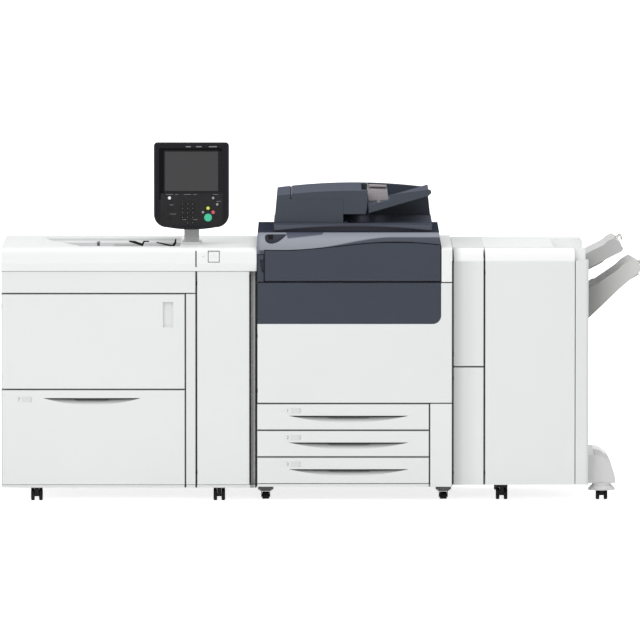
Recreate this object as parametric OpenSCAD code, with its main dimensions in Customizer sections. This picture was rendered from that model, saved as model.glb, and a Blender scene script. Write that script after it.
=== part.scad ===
// A production print line on casters: paper feeder, relay, print engine with scanner,
// interface and finisher. X runs to the right, Y to the back and Z up. The origin lies
// on the floor under the middle of the whole line.

/* [Line] */
// Height of the worktops above the floor
worktop_h = 992; // [980:1:1040]
// Depth of the print engine
engine_d = 787; // [770:1:840]
// How much shallower the interface and the finisher are
finisher_short = 97; // [70:1:120]
// Height of the feeder and finisher bottoms above the floor
floor_gap = 63; // [62:0.5:70]
// Thickness of the cabinet walls
wall = 16; // [14:1:20]
// Thickness of the doors and drawer fronts
door_t = 30; // [28:1:34]
// Visible gap between neighbouring fronts
seam = 3; // [2.5:0.5:4]

/* [Feeder and relay] */
// Width of the feeder
feeder_w = 761; // [720:1:820]
// Width of the relay
relay_w = 236; // [220:1:260]
// Height of the worktop cover
cover_h = 92; // [86:1:100]
// Height of the feeder drawer front
feeder_drawer_h = 374; // [340:1:390]

/* [Bypass tray] */
// Worktop left of the recess
bypass_left = 136; // [126:1:150]
// Worktop right of the recess
bypass_right = 63; // [58:1:70]
// Depth of the bed at its deepest
bypass_depth = 62; // [50:1:64]

/* [Engine] */
// Width of the print engine
engine_w = 765; // [750:1:800]
// Height of each paper tray front
tray_pitch = 104.7; // [96:0.1:106]
// Height of the front door
front_door_h = 474; // [460:1:480]
// Width of the white column right of the dark panel
dark_column_w = 45; // [36:1:60]
// Lowest height of the wave over the toner cover, above the front door
wave_low_h = 126; // [118:1:132]
// Rise of the wave from its lowest to its highest point
wave_rise = 32; // [20:1:36]

/* [Scanner] */
// Height of the scanner's top above the worktop
scanner_rise = 58; // [54:1:66]
// Height of the document feeder's end above the lid
adf_h = 108; // [100:1:114]
// Width of the feed unit as a share of the lid
adf_unit_share = 0.593; // [0.57:0.001:0.61]

/* [Control panel] */
// Width of the panel
panel_w = 294; // [280:1:310]
// Height of the panel
panel_h = 341; // [330:1:360]
// Height of the panel's lower edge above the worktop
panel_lift = 59; // [54:1:80]
// Width of the screen
screen_w = 211; // [200:1:220]
// Height of the screen
screen_h = 157; // [150:1:165]

/* [Interface] */
// Width of the interface
interface_w = 123; // [114:1:140]
// Height of the interface's lower door
lower_door_h = 464; // [420:1:500]

/* [Finisher] */
// Width of the finisher without its trays
finisher_w = 407; // [390:1:430]
// Width of the column right of the finisher door
column_w = 52; // [46:1:60]
// Reach of the stacker tray past the finisher
tray_reach = 228; // [216:1:240]
// Travel of the stacker tray
stacker_travel = 440; // [380:5:450]
// Height of the booklet hood
booklet_h = 113; // [105:1:130]

/* [Casters] */
// Diameter of the wheels of a twin caster
wheel_dia = 47; // [44:0.5:47]

/* [Hidden] */
$fn = 48;

// Sizes that stay as they are
tray_column_w = 90;
left_trim_w = 30;
lid_right = 31;
axle_dia = 8;
door_panel_h = 163;
out_tray_w = 340;
overhang = 14;
panel_t = 42;
lid_h = 30;
column_drop = 51;
booklet_w = 108;
strip_w = 42;
skin = 4;
rim = 26;
cover_round = 24;
pocket_h = 100;
pocket_w = 40;
bypass_edge = 92;
skirt_h = 12;
door_panel_r = 33;
adf_in = 20;
adf_crown = 20;
post_w = 58;
twin_wheel_w = 14;
hood_w = 16;
single_wheel_w = 28;
base_h = 11;
band_h = 88;
feeder_short = 25;
relay_grip_w = 26;
scanner_short = 97;
lid_left = 67;

white = [0.93, 0.94, 0.94];
pale = [0.89, 0.9, 0.9];
slate = [0.27, 0.29, 0.34];
black = [0.08, 0.08, 0.09];
grey = [0.6, 0.61, 0.62];

// Overrun of every cut
cut = 1;
// Embedment of pieces that are fused
embed = 1;
// Gap between a resting piece and its seat
seat = 0.3;
// Running gap beside a moving piece
run_gap = 0.6;

// Widths and depths that follow
feeder_d = engine_d - feeder_short;
finisher_d = engine_d - finisher_short;
scanner_d = engine_d - scanner_short;
bypass_l = feeder_w - bypass_left - bypass_right;
tray_w = engine_w - tray_column_w;
dark_w = engine_w - dark_column_w;
lid_w = dark_w - seam - lid_left - lid_right;
adf_unit_w = lid_w * adf_unit_share;

// Places along X
total_w = feeder_w + relay_w + engine_w + interface_w + finisher_w + tray_reach;
x_feeder = -total_w / 2;
x_relay = x_feeder + feeder_w;
x_engine = x_relay + relay_w;
x_interface = x_engine + engine_w;
x_finisher = x_interface + interface_w;
x_end = x_finisher + finisher_w;

// Places along Y
y_front = -engine_d / 2;
y_back = engine_d / 2;
y_face = y_front + overhang;
feeder_back = y_front + feeder_d;
finisher_back = y_front + finisher_d;

// Hinges: a pin in the door turns in a knuckle on the cabinet
hinge_in = 10;
pin_r = 3;
pin_fit = 0.05;
pin_embed = 2;
knuckle_r = 6.5;
knuckle_h = 16;
knuckle_gap = 0.5;
hinge_from_end = 40;
door_gap = hinge_in + norm([hinge_in, door_t - hinge_in]) - door_t + run_gap;
front_depth = door_t + door_gap;

// Places along Z
z_cover = worktop_h - cover_h;
z_band = z_cover - band_h;
z_drawer = floor_gap + feeder_drawer_h;
base_z = floor_gap - base_h;
engine_drop = 6;
engine_z = floor_gap - engine_drop;
z_trays = engine_z + skirt_h;
z_door = z_trays + 3 * tray_pitch;
z_toner = z_door + front_door_h;
z_scanner = worktop_h + scanner_rise;
z_split = floor_gap + lower_door_h;

// Drawer handle: a crescent scoop under a straight lip
scoop_sag = 28;
scoop_slope = 52;
latch_share = 0.33;
latch_h = 7;
latch_depth = 16;

// Drawer runners
runner_h = 12;
runner_w = 10;
bin_wall = 3;
bin_floor = 4;
ledge_t = 4;

// Points on an arc about (cx, cy)
function arc_points(cx, cy, r, from, to, steps) =
  [for (i = [0:steps]) let (a = from + (to - from) * i / steps) [cx + r * cos(a), cy + r * sin(a)]];
// Points on a quarter of an ellipse about (cx, cy)
function oval_points(cx, cy, rx, ry, from, to, steps) =
  [for (i = [0:steps]) let (a = from + (to - from) * i / steps) [cx + rx * cos(a), cy + ry * sin(a)]];
// Share points stretched over a width and a height
function stretch(shares, x, z, w, h) = [for (p = shares) [x + p[0] * w, z + p[1] * h]];

// A block given by its low and high corners
module block(low, high) {
  translate(low) cube(high - low);
}

// A rod along X or along Y
module rod_x(r, x0, x1, y, z) {
  translate([x0, y, z]) rotate([0, 90, 0]) cylinder(r = r, h = x1 - x0);
}
module rod_y(r, y0, y1, x, z) {
  translate([x, y1, z]) rotate([90, 0, 0]) cylinder(r = r, h = y1 - y0);
}

// An outline in X and Z drawn out along Y
module front_shape(points, y0, y1) {
  translate([0, y1, 0]) rotate([90, 0, 0]) linear_extrude(y1 - y0) polygon(points);
}

// An outline in Y and Z drawn out along X
module side_shape(points, x0, x1) {
  translate([x0, 0, 0]) rotate([90, 0, 90]) linear_extrude(x1 - x0) polygon(points);
}

// Hollow at the back of a front that is wide enough
module front_hollow(left, right, low, high, y, face) {
  if (right - left > 3 * rim)
    block([left + rim, y + face, low + rim], [right - rim, y + door_t + cut, high - rim]);
}

// A fixed or sliding front between split lines, hollow at its back
module plain_front(x0, x1, z0, z1, y) {
  left = x0 + seam / 2;
  right = x1 - seam / 2;
  low = z0 + seam / 2;
  high = z1 - seam / 2;
  difference() {
    block([left, y, low], [right, y + door_t, high]);
    front_hollow(left, right, low, high, y, skin);
  }
}

// A hinged front, its left edge round about the pin. The upper hinge is set for a front
// that ends at hinge_top, and face is the thickness before the hollow
module hinged_front(x0, x1, z0, z1, y, hinge_top, face = skin) {
  left = x0 + seam / 2;
  right = x1 - seam / 2;
  low = z0 + seam / 2;
  high = z1 - seam / 2;
  pin_x = left + hinge_in;
  pin_y = y + hinge_in;
  reach = knuckle_r + knuckle_gap;
  difference() {
    union() {
      block([pin_x, y, low], [right, y + door_t, high]);
      block([left, pin_y, low], [right, y + door_t, high]);
      translate([pin_x, pin_y, low]) cylinder(r = hinge_in, h = high - low);
    }
    front_hollow(left, right, low, high, y, face);
    for (z = hinge_heights(z0, hinge_top))
      block([left - cut, pin_y - reach, z - seat], [pin_x + reach, y + door_t + cut, z + knuckle_h + seat]);
  }
  for (z = hinge_heights(z0, hinge_top))
    translate([pin_x, pin_y, z - seat - pin_embed])
      cylinder(r = pin_r, h = knuckle_h + 2 * seat + 2 * pin_embed);
}

// Lower ends of a door's two knuckles between its split lines
function hinge_heights(z0, z1) = [z0 + hinge_from_end, z1 - hinge_from_end - knuckle_h];

// Knuckle with its arm back to the cabinet, for a door whose left split line is x0
module hinge_knuckles(x0, z0, z1, y) {
  pin_x = x0 + seam / 2 + hinge_in;
  pin_y = y + hinge_in;
  for (z = hinge_heights(z0, z1)) {
    difference() {
      union() {
        translate([pin_x, pin_y, z]) cylinder(r = knuckle_r, h = knuckle_h);
        block([pin_x - knuckle_r, pin_y, z],
          [pin_x + knuckle_r, y + front_depth + embed, z + knuckle_h]);
      }
      translate([pin_x, pin_y, z - cut])
        cylinder(r = pin_r + pin_fit, h = knuckle_h + 2 * cut);
    }
  }
}

// Vents in a rear panel whose face lies at y, the first corner at x
module vents(x, y) {
  for (i = [0:vent_count - 1])
    block([x, y - vent_depth, vent_z + i * vent_pitch],
      [x + vent_w, y + cut, vent_z + i * vent_pitch + vent_h]);
}

// Plates of the paper path between a cabinet's walls
module path_plates(x0, x1, y0, y1, z0, z1) {
  for (share = path_shares)
    block([x0 - embed, y0 + wall, z0 + (z1 - z0) * share],
      [x1 + embed, y1 - wall + embed, z0 + (z1 - z0) * share + ledge_t]);
}
path_shares = [0.42, 0.5, 0.78];

// Crescent scoop cut into a front whose face lies at y, with its lip at height z
module handle_scoop(xc, z, w, y) {
  scoop_r = (w * w / 4 + scoop_sag * scoop_sag) / (2 * scoop_sag) / cos(scoop_slope);
  depth = scoop_sag / tan(scoop_slope);
  intersection() {
    translate([xc, y, z - scoop_sag + scoop_r / cos(scoop_slope)]) rotate([scoop_slope - 90, 0, 0])
      translate([0, 0, -2 * scoop_r]) cylinder(r = scoop_r, h = 4 * scoop_r, $fn = 96);
    block([xc - w / 2, y - cut, z - scoop_sag], [xc + w / 2, y + depth, z]);
  }
}

// Latch paddle in the middle of a scoop, fused to the lip
module scoop_latch(xc, z, w, y) {
  half = w * latch_share / 2;
  block([xc - half, y + skin, z - latch_h], [xc + half, y + skin + latch_depth, z + embed]);
}

// Drawer front with its scoop, shifted right of the middle, and the backing that closes it
module drawer_front(x0, x1, z0, z1, y, handle_w, lip_drop, shift) {
  xc = (x0 + x1) / 2 + shift;
  z = z1 - lip_drop;
  half = handle_w / 2 + rim / 2;
  difference() {
    union() {
      plain_front(x0, x1, z0, z1, y);
      block([xc - half, y + skin - embed, z - scoop_sag - skin],
        [xc + half, y + door_t, z + skin]);
    }
    handle_scoop(xc, z, handle_w, y);
  }
  scoop_latch(xc, z, handle_w, y);
}

// Open bin behind a drawer front, with a runner along each side
module drawer_bin(x0, x1, z0, z1, y0, y1) {
  difference() {
    block([x0, y0, z0], [x1, y1, z1]);
    block([x0 + bin_wall, y0 + bin_wall, z0 + bin_floor], [x1 - bin_wall, y1 - bin_wall, z1 + cut]);
  }
  for (x = [x0 - runner_w, x1 - embed])
    block([x, y0 + bin_wall, z0 + ledge_t], [x + runner_w + embed, y1, z0 + ledge_t + runner_h]);
}

// Ledges under the runners of a bin from x0 to x1, fused to the walls beside them
module drawer_ledges(x0, x1, z0, y0, y1, wall_left, wall_right) {
  top = z0 + ledge_t - seat;
  block([wall_left - embed, y0, top - ledge_t], [x0 - run_gap, y1, top]);
  block([x1 + run_gap, y0, top - ledge_t], [wall_right + embed, y1, top]);
}

// Box cabinet, open at its front
module open_cabinet(x0, x1, y0, y1, z0, z1) {
  difference() {
    block([x0, y0, z0], [x1, y1, z1]);
    block([x0 + wall, y0 - cut, z0 + wall], [x1 - wall, y1 - wall, z1 - wall]);
  }
}

// Feeder

feeder_y = y_face + front_depth;
feeder_bin_short = 142;
strip_x = x_relay - strip_w;
feeder_bin_gap = 14;
feeder_bin_x0 = x_feeder + wall + feeder_bin_gap;
feeder_bin_x1 = strip_x - wall - feeder_bin_gap;
feeder_bin_z0 = floor_gap + wall + runner_h;
feeder_bin_top = z_drawer - wall - runner_h;
feeder_bin_y0 = y_face + door_t - embed;
feeder_bin_d = feeder_d - feeder_bin_short;
feeder_bin_y1 = feeder_bin_y0 + feeder_bin_d;
inner_panel_in = 24;
base_in = 3;
grip_depth = 16;
pocket_in = 43;
knob_r = 16;
knob_l = 14;

module feeder_cabinet() {
  color(pale) {
    difference() {
      union() {
        block([x_feeder, feeder_y, base_z], [x_relay, feeder_back, z_cover]);
        // Base below the fronts
        block([x_feeder, y_face + base_in, base_z], [x_relay, feeder_y + embed, floor_gap]);
        plain_front(strip_x, x_relay, floor_gap, z_band, y_face);
        block([strip_x + seam / 2, y_face + door_t - embed, floor_gap + seam / 2],
          [x_relay - seam / 2, feeder_y + embed, z_band - seam / 2]);
      }
      // Drawer bay
      block([x_feeder + wall, feeder_y - cut, floor_gap + wall],
        [strip_x - wall, feeder_back - wall, z_drawer - wall / 2]);
      // Bay behind the door, closed by the inner panel
      block([x_feeder + wall, feeder_y - cut, z_drawer + wall / 2],
        [strip_x - wall, feeder_y + inner_panel_in, z_band - wall / 2]);
      // Closed space behind the inner panel
      block([x_feeder + wall, feeder_y + inner_panel_in + skin, z_drawer + wall / 2],
        [strip_x - wall, feeder_back - wall, z_cover - wall]);
      // Paper path between the bays and the relay
      block([strip_x, feeder_y + wall, floor_gap + wall],
        [x_relay - wall, feeder_back - wall, z_cover - wall]);
      vents(x_feeder + vent_edge, feeder_back);
    }
    drawer_ledges(feeder_bin_x0, feeder_bin_x1, feeder_bin_z0,
      feeder_y, feeder_back - wall + embed, x_feeder + wall, strip_x - wall);
    hinge_knuckles(x_feeder, z_drawer, z_band, y_face);
    // Two knobs on the inner panel
    for (share = knob_shares)
      rod_y(knob_r, feeder_y + inner_panel_in - knob_l, feeder_y + inner_panel_in + embed,
        x_feeder + feeder_w * share[0], z_drawer + (z_band - z_drawer) * share[1]);
  }
}

knob_shares = [[0.3, 0.62], [0.62, 0.34]];

// Vents in the rear panels
vent_count = 8;
vent_pitch = 16;
vent_h = 7;
vent_w = 160;
vent_depth = 6;
vent_edge = 60;
vent_z = z_drawer + wall;

module feeder_band() {
  color(pale) difference() {
    block([x_feeder + seam / 2, y_face, z_band + seam / 2],
      [x_relay - seam / 2, feeder_y, z_cover]);
    block([x_feeder + rim, y_face + skin, z_band + wall],
      [x_relay - rim, feeder_y + cut, z_cover - wall]);
  }
}

module feeder_door() {
  right = strip_x - pocket_in;
  top = z_band - rim - seam;
  color(pale) difference() {
    union() {
      hinged_front(x_feeder, strip_x, z_drawer, z_band, y_face, z_band);
      block([right - pocket_w - 2 * skin, y_face + embed, top - pocket_h - 2 * skin],
        [right, y_face + door_t, top]);
    }
    // Grip pocket with a sloping floor
    side = [[y_face - cut, top - skin], [y_face + grip_depth, top - skin],
      [y_face + grip_depth, top - pocket_h], [y_face - cut, top - pocket_h - skin]];
    side_shape(side, right - pocket_w - skin, right - skin);
  }
}

module feeder_drawer() {
  color(pale) {
    drawer_front(x_feeder, strip_x, floor_gap, z_drawer, y_face, feeder_handle_w, feeder_lip, feeder_shift);
    drawer_bin(feeder_bin_x0, feeder_bin_x1, feeder_bin_z0, feeder_bin_top,
      feeder_bin_y0, feeder_bin_y1);
  }
}

feeder_handle_w = 384;
feeder_lip = 34;
feeder_shift = -5;

// Plate that lifts the paper stack in the feeder drawer
lift_gap = 3;
lift_t = 3;
lift_notch = 60;
module lift_plate() {
  z = feeder_bin_z0 + bin_floor + seat;
  x0 = feeder_bin_x0 + bin_wall + lift_gap;
  x1 = feeder_bin_x1 - bin_wall - lift_gap;
  y0 = feeder_bin_y0 + bin_wall + lift_gap;
  y1 = feeder_bin_y1 - bin_wall - lift_gap;
  xc = (x0 + x1) / 2;
  color(grey) difference() {
    block([x0, y0, z], [x1, y1, z + lift_t]);
    for (y = [y0 - lift_notch, y1 - lift_notch])
      block([xc - lift_notch, y, z - cut], [xc + lift_notch, y + 2 * lift_notch, z + lift_t + cut]);
    translate([x0 + lift_notch, (y0 + y1) / 2, z - cut]) cylinder(r = lift_notch / 2, h = lift_t + 2 * cut);
  }
}

// Worktop over feeder and relay

bypass_y0 = y_front + bypass_edge;
bypass_y1 = feeder_back - bypass_edge;
bypass_x0 = x_feeder + bypass_left;
bed_shares = [[0, 0], [0.08, -0.23], [0.3, -0.62], [0.5, -1], [1, -1]];
cover_lip = 30;
undercut = 10;
cover_wall = 4;
slot_w = 8;
wall_slot_share = 0.4;
wall_slot_w = 12;
wall_slot_d = 36;
wall_slot_shares = [0.3, 0.75];

// Side outline of the worktop cover
worktop_side = concat(
  [[feeder_back, z_cover], [feeder_back, worktop_h]],
  arc_points(y_front + cover_round, worktop_h - cover_round, cover_round, 90, 180, 8),
  [[y_front, z_cover + cover_lip], [y_front + undercut, z_cover]]);

// Place of the slot along which the guides slide
guide_slot_share = 0.72;
guide_slot_x = bypass_x0 + bypass_l * guide_slot_share;
guide_foot_w = 14;
guide_foot_h = 10;
bed_z = worktop_h - bypass_depth;

module worktop() {
  bed = concat(stretch(bed_shares, bypass_x0, worktop_h, bypass_l, bypass_depth),
    [[bypass_x0 + bypass_l, worktop_h + cut], [bypass_x0, worktop_h + cut]]);
  color(white) difference() {
    side_shape(worktop_side, x_feeder, x_engine);
    front_shape(bed, bypass_y0, bypass_y1);
    // Hollow underside
    block([x_feeder + cover_wall, feeder_y + cover_wall, z_cover - cut],
      [x_relay - cover_wall, feeder_back - cover_wall, bed_z - guide_foot_h - 2 * cover_wall]);
    // Groove in the front between feeder and relay
    block([x_relay - seam / 2, y_front - cut, z_cover - cut],
      [x_relay + seam / 2, y_front + seam, worktop_h - cover_round / 2]);
    // Slot for the feet of the guides
    block([guide_slot_x - guide_foot_w / 2 - run_gap, bypass_y0 + slot_w, bed_z - guide_foot_h - seat],
      [guide_slot_x + guide_foot_w / 2 + run_gap, bypass_y1 - slot_w, bed_z + cut]);
    // Slot in the recess' rear wall
    slot_x = bypass_x0 + bypass_l * wall_slot_share;
    block([slot_x, bypass_y1 - cut, worktop_h - bypass_depth * wall_slot_shares[1]],
      [slot_x + wall_slot_w, bypass_y1 + wall_slot_d, worktop_h - bypass_depth * wall_slot_shares[0]]);
    // Mouth through which the bypass paper leaves
    mouth_x1 = bypass_x0 + bypass_l + mouth_l;
    block([bypass_x0 + bypass_l - cut, bypass_y0 + mouth_in, bed_z],
      [mouth_x1, bypass_y1 - mouth_in, bed_z + mouth_h]);
    // Duct from the mouth down to the rollers
    block([mouth_x1 - mouth_h, bypass_y0 + mouth_in, z_cover],
      [mouth_x1, bypass_y1 - mouth_in, bed_z + cut]);
  }
}

mouth_in = 40;
mouth_l = 40;
mouth_h = 24;

// Bypass guides: a bent finger on a leg, a base on the bed and a foot in the slot
finger_shares = [[[0, 0.75], [0.6, 0], [0.71, 0.08], [0.78, 0.7], [1, 0.72], [1, 0.95], [0.72, 0.95],
  [0.65, 0.42], [0.31, 0.92], [0, 1]],
  [[0, 0.53], [0.38, 0.25], [0.86, 0], [1, 0.4], [1, 1], [0.94, 1], [0.9, 0.6], [0.79, 0.25], [0, 0.65]]];
finger_x_shares = [-0.0765, 0.1];
finger_z = [63, 23];
finger_l_shares = [0.14, 0.14];
finger_h = [20, 32];
finger_w = 4;
leg_shares = [0.62, 0.84];
leg_w = 6;
base_plate_t = 2;

// One guide, front or rear, whose finger stands at y
module bypass_guide(place, y) {
  x = guide_slot_x + bypass_l * finger_x_shares[place];
  z = bed_z + finger_z[place];
  l = bypass_l * finger_l_shares[place];
  leg_x = x + l * leg_shares[place];
  foot = guide_foot_w / 2;
  front_shape(stretch(finger_shares[place], x, z, l, finger_h[place]), y, y + finger_w);
  block([leg_x, y, bed_z + seat], [leg_x + leg_w, y + finger_w, z + base_plate_t]);
  block([min(leg_x, guide_slot_x) - guide_foot_w, y - leg_w, bed_z + seat],
    [max(leg_x, guide_slot_x) + guide_foot_w, y + finger_w + leg_w, bed_z + seat + base_plate_t]);
  block([guide_slot_x - foot, y - foot, bed_z + seat - guide_foot_h],
    [guide_slot_x + foot, y + foot, bed_z + seat + embed]);
}

module bypass_guide_front() {
  color(black) bypass_guide(0, bypass_y0 + slot_w + guide_foot_w);
}

module bypass_guide_rear() {
  color(black) bypass_guide(1, bypass_y1 - slot_w - guide_foot_w - finger_w);
}

// Relay

relay_door_x1 = x_engine - relay_grip_w;

module relay_cabinet() {
  color(pale) {
    open_cabinet(x_relay, x_engine, feeder_y, feeder_back, base_z, z_cover);
    block([x_relay, y_face + base_in, base_z], [x_engine, feeder_y + embed, floor_gap]);
    // Set-back strip beside the door, where fingers reach behind its edge
    block([relay_door_x1 + seam, y_face + door_t - skin, floor_gap + seam / 2],
      [x_engine - seam / 2, feeder_y + embed, z_cover - seam / 2]);
    hinge_knuckles(x_relay, floor_gap, z_cover, y_face);
    path_plates(x_relay + wall, x_engine - wall, feeder_y, feeder_back, floor_gap, z_cover);
  }
}

module relay_door() {
  color(pale) hinged_front(x_relay, relay_door_x1, floor_gap, z_cover, y_face, z_cover);
}

// Engine

engine_y = y_front + front_depth;
tray_x1 = x_engine + tray_w;
dark_x1 = x_engine + dark_w;
bay_short = 227;
bay_back = engine_d - bay_short;
tray_bin_gap = 14;
tray_bin_x0 = x_engine + wall + tray_bin_gap;
tray_bin_x1 = tray_x1 - wall - tray_bin_gap;
tray_bin_y0 = y_front + door_t - embed;
tray_bin_short = 20;
tray_bin_d = bay_back - tray_bin_short;
tray_bin_h = 66;
tray_bin_lift = 14;
tray_column_x0 = tray_x1;
toner_deck_t = 12;
inner_set_back = 24;

// Height of the wave's line at a share of the dark width: a dip, a swell and a soft fall
wave_dip_share = 0.12;
wave_peak_share = 0.76;
wave_end_share = 1.35;
function wave_z(share) = z_toner + wave_low_h + (share < wave_peak_share
  ? wave_rise * (1 - cos(180 * (share - wave_dip_share) / (wave_peak_share - wave_dip_share))) / 2
  : wave_rise * (1 + cos(180 * (share - wave_peak_share) / (wave_end_share - wave_peak_share))) / 2);
wave_steps = 24;
// Points of the wave from one share to another
function wave_points(from, to, shift) = [for (i = [0:wave_steps])
  let (share = from + (to - from) * i / wave_steps)
  [x_engine + dark_w * share, wave_z(share) + shift]];

module engine_frame() {
  color(grey) {
    difference() {
      block([x_engine, engine_y, engine_z], [x_interface, y_back - skin, z_toner]);
      // Tray bays
      for (i = [0:2])
        block([x_engine + wall, engine_y - cut, z_trays + i * tray_pitch + skin],
          [tray_x1 - wall, y_front + front_depth + bay_back + wall,
            z_trays + (i + 1) * tray_pitch - skin]);
      // Bay behind the front door
      block([x_engine + wall, engine_y - cut, z_door + wall],
        [x_interface - wall, engine_y + inner_set_back + skin, z_toner - toner_deck_t]);
      // Closed space behind the inner cover
      block([x_engine + wall, engine_y + inner_set_back + 2 * skin, z_door + wall],
        [x_interface - wall, y_back - wall, z_toner - toner_deck_t]);
      // Closed space behind the trays and the column
      block([tray_x1, engine_y + wall, engine_z + wall],
        [x_interface - wall, y_back - wall, z_door - wall]);
    }
    for (i = [0:2])
      drawer_ledges(tray_bin_x0, tray_bin_x1, z_trays + i * tray_pitch + tray_bin_lift,
        engine_y, engine_y + bay_back + wall, x_engine + wall, tray_x1 - wall);
    for (c = casters) if (c[2]) translate([c[0], c[1], 0]) caster_bracket(engine_z);
    hinge_knuckles(x_engine, z_door, z_door + front_door_h - door_panel_h, y_front);
    toner_bay();
    toner_knuckles();
  }
}

toner_bay_d = 150;
toner_count = 4;
bottle_r = 38;
bottle_l = 118;
bottle_fit = 0.3;
bottle_end_share = 0.8;
bottle_grip = 23;
toner_bay_top = z_toner + wave_low_h - wall;
function bottle_x(i) = x_engine + left_trim_w + (dark_w - left_trim_w) * (2 * i + 1) / (2 * toner_count);
bottle_z = z_toner + bottle_r + wall;

// Deck under the scanner: saddles for the bottles in front, hollow behind them
module toner_bay() {
  back = engine_y + toner_bay_d;
  difference() {
    block([x_engine, engine_y, z_toner - embed], [dark_x1, scanner_back + seam, toner_bay_top]);
    for (i = [0:toner_count - 1])
      rod_y(bottle_r + bottle_fit, engine_y - wall, back - wall, bottle_x(i), bottle_z);
    // The bay is open in front above the bottles' saddles
    block([x_engine + left_trim_w + wall, engine_y - cut, bottle_z],
      [dark_x1 - wall, back - wall, toner_bay_top - skin]);
    block([x_engine + wall, back, z_toner + wall],
      [dark_x1 - wall, scanner_back - wall, toner_bay_top - skin]);
  }
}

module toner_bottles() {
  back = engine_y + toner_bay_d;
  color(black) for (i = [0:toner_count - 1])
    translate([bottle_x(i), back - wall, bottle_z]) rotate([90, 0, 0]) {
      cylinder(r = bottle_r, h = bottle_l - wall);
      translate([0, 0, bottle_l - wall - embed])
        cylinder(r1 = bottle_r, r2 = bottle_r * bottle_end_share, h = wall / 2);
      block([-bottle_grip, -skin, bottle_l - wall], [bottle_grip, skin, bottle_l]);
    }
}

// Fixed white covers: lower column, upper column with its top, and the rear worktop
module engine_covers() {
  color(white) {
    block([dark_x1 + seam / 2, engine_y, z_toner], [x_interface - seam / 2, y_back - skin, z_toner + seam]);
    plain_front(tray_column_x0, x_interface, engine_z - seam / 2, z_door, y_front);
    block([tray_column_x0 + seam / 2, y_front + door_t - embed, engine_z],
      [tray_column_x0 + rim, engine_y, z_door - seam / 2]);
    // Skirt under the lowest tray
    block([x_engine + seam / 2, y_front + base_in, engine_z],
      [tray_column_x0 + seam, y_front + door_t, z_trays - seam / 2]);
    // Upper column, rounded at its top front edge
    side = concat([[y_front, z_toner + seam / 2], [y_back - skin, z_toner + seam / 2],
      [y_back - skin, worktop_h]],
      arc_points(y_front + cover_round / 2, worktop_h - cover_round / 2, cover_round / 2, 90, 180, 6));
    side_shape(side, dark_x1 + seam / 2, x_interface - seam / 2);
    // Top behind the scanner
    block([x_engine, scanner_back + seam, z_toner], [dark_x1 + seam / 2 + embed, y_back - skin, worktop_h]);
  }
}

louvre_count = 14;
louvre_pitch = 18;
louvre_h = 8;
louvre_w = 260;
louvre_t = 2;
inlet_w = 60;
inlet_h = 44;

module engine_rear_cover() {
  x0 = x_engine + wall;
  x1 = x_interface - wall;
  color(pale) difference() {
    block([x0, y_back - skin, engine_z], [x1, y_back, z_toner - seam]);
    for (i = [0:louvre_count - 1])
      for (x = [x0 + wall, x1 - wall - louvre_w])
        block([x, y_back - louvre_t, z_door + i * louvre_pitch],
          [x + louvre_w, y_back + cut, z_door + i * louvre_pitch + louvre_h]);
    // Power inlet recess
    block([x0 + wall, y_back - louvre_t, engine_z + wall],
      [x0 + wall + inlet_w, y_back + cut, engine_z + wall + inlet_h]);
  }
}

// Inner cover with the lever's boss, the transfer drawer's outline and grips
lever_x_share = 0.3;
lever_z_share = 0.55;
lever_x = x_engine + engine_w * lever_x_share;
lever_z = z_door + front_door_h * lever_z_share;
lever_y = engine_y + inner_set_back;
boss_r = 9;
boss_l = 16;
lever_l = 96;
lever_t = 10;
lever_hub_r = 17;
lever_fit = 0.05;
inner_rib = 6;
frame_share = 0.46;

module engine_inner_cover() {
  x0 = x_engine + wall;
  x1 = x_interface - wall;
  z0 = z_door + wall;
  z1 = z_toner - toner_deck_t;
  color([0.25, 0.26, 0.28]) {
    block([x0, lever_y, z0], [x1, lever_y + skin, z1]);
    rod_y(boss_r, lever_y - boss_l, lever_y + embed, lever_x, lever_z);
    // Raised frame of the transfer drawer
    difference() {
      block([x0 + (x1 - x0) * frame_share, lever_y - inner_rib, z0 + wall],
        [x1 - wall, lever_y + embed, z0 + (z1 - z0) * frame_share]);
      block([x0 + (x1 - x0) * frame_share + wall, lever_y - inner_rib - cut, z0 + 2 * wall],
        [x1 - 2 * wall, lever_y - embed, z0 + (z1 - z0) * frame_share - wall]);
    }
    // Fuser grip
    block([x0 + wall, lever_y - inner_rib, z0 + wall],
      [x0 + wall + lever_l, lever_y + embed, z0 + wall + lever_hub_r]);
  }
}

module release_lever() {
  y = lever_y - seat;
  color([0.2, 0.6, 0.35]) difference() {
    union() {
      rod_y(lever_hub_r, y - lever_t, y, lever_x, lever_z);
      block([lever_x, y - lever_t, lever_z - lever_t / 2], [lever_x + lever_l, y, lever_z + lever_t / 2]);
      rod_y(lever_t, y - lever_t, y, lever_x + lever_l, lever_z);
    }
    rod_y(boss_r + lever_fit, y - lever_t - cut, y + cut, lever_x, lever_z);
  }
}

// Space of the dark panel, with its round lower right corner
module dark_region() {
  x0 = x_engine - cut;
  y0 = y_front - cut;
  y1 = y_front + panel_skin;
  z0 = z_toner - door_panel_h;
  r = door_panel_r;
  block([x0, y0, z0], [dark_x1 - r, y1, z_toner + cut]);
  block([x0, y0, z0 + r], [dark_x1, y1, z_toner + cut]);
  rod_y(r, y0, y1, dark_x1 - r, z0 + r);
}

panel_skin = 6;

module front_door_shape() {
  hinged_front(x_engine, x_interface, z_door, z_toner, y_front, z_toner - door_panel_h,
    panel_skin + skin);
}

module front_door() {
  color(white) difference() {
    front_door_shape();
    dark_region();
  }
}

module front_door_panel() {
  color(slate) intersection() {
    front_door_shape();
    dark_region();
  }
}

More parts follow.
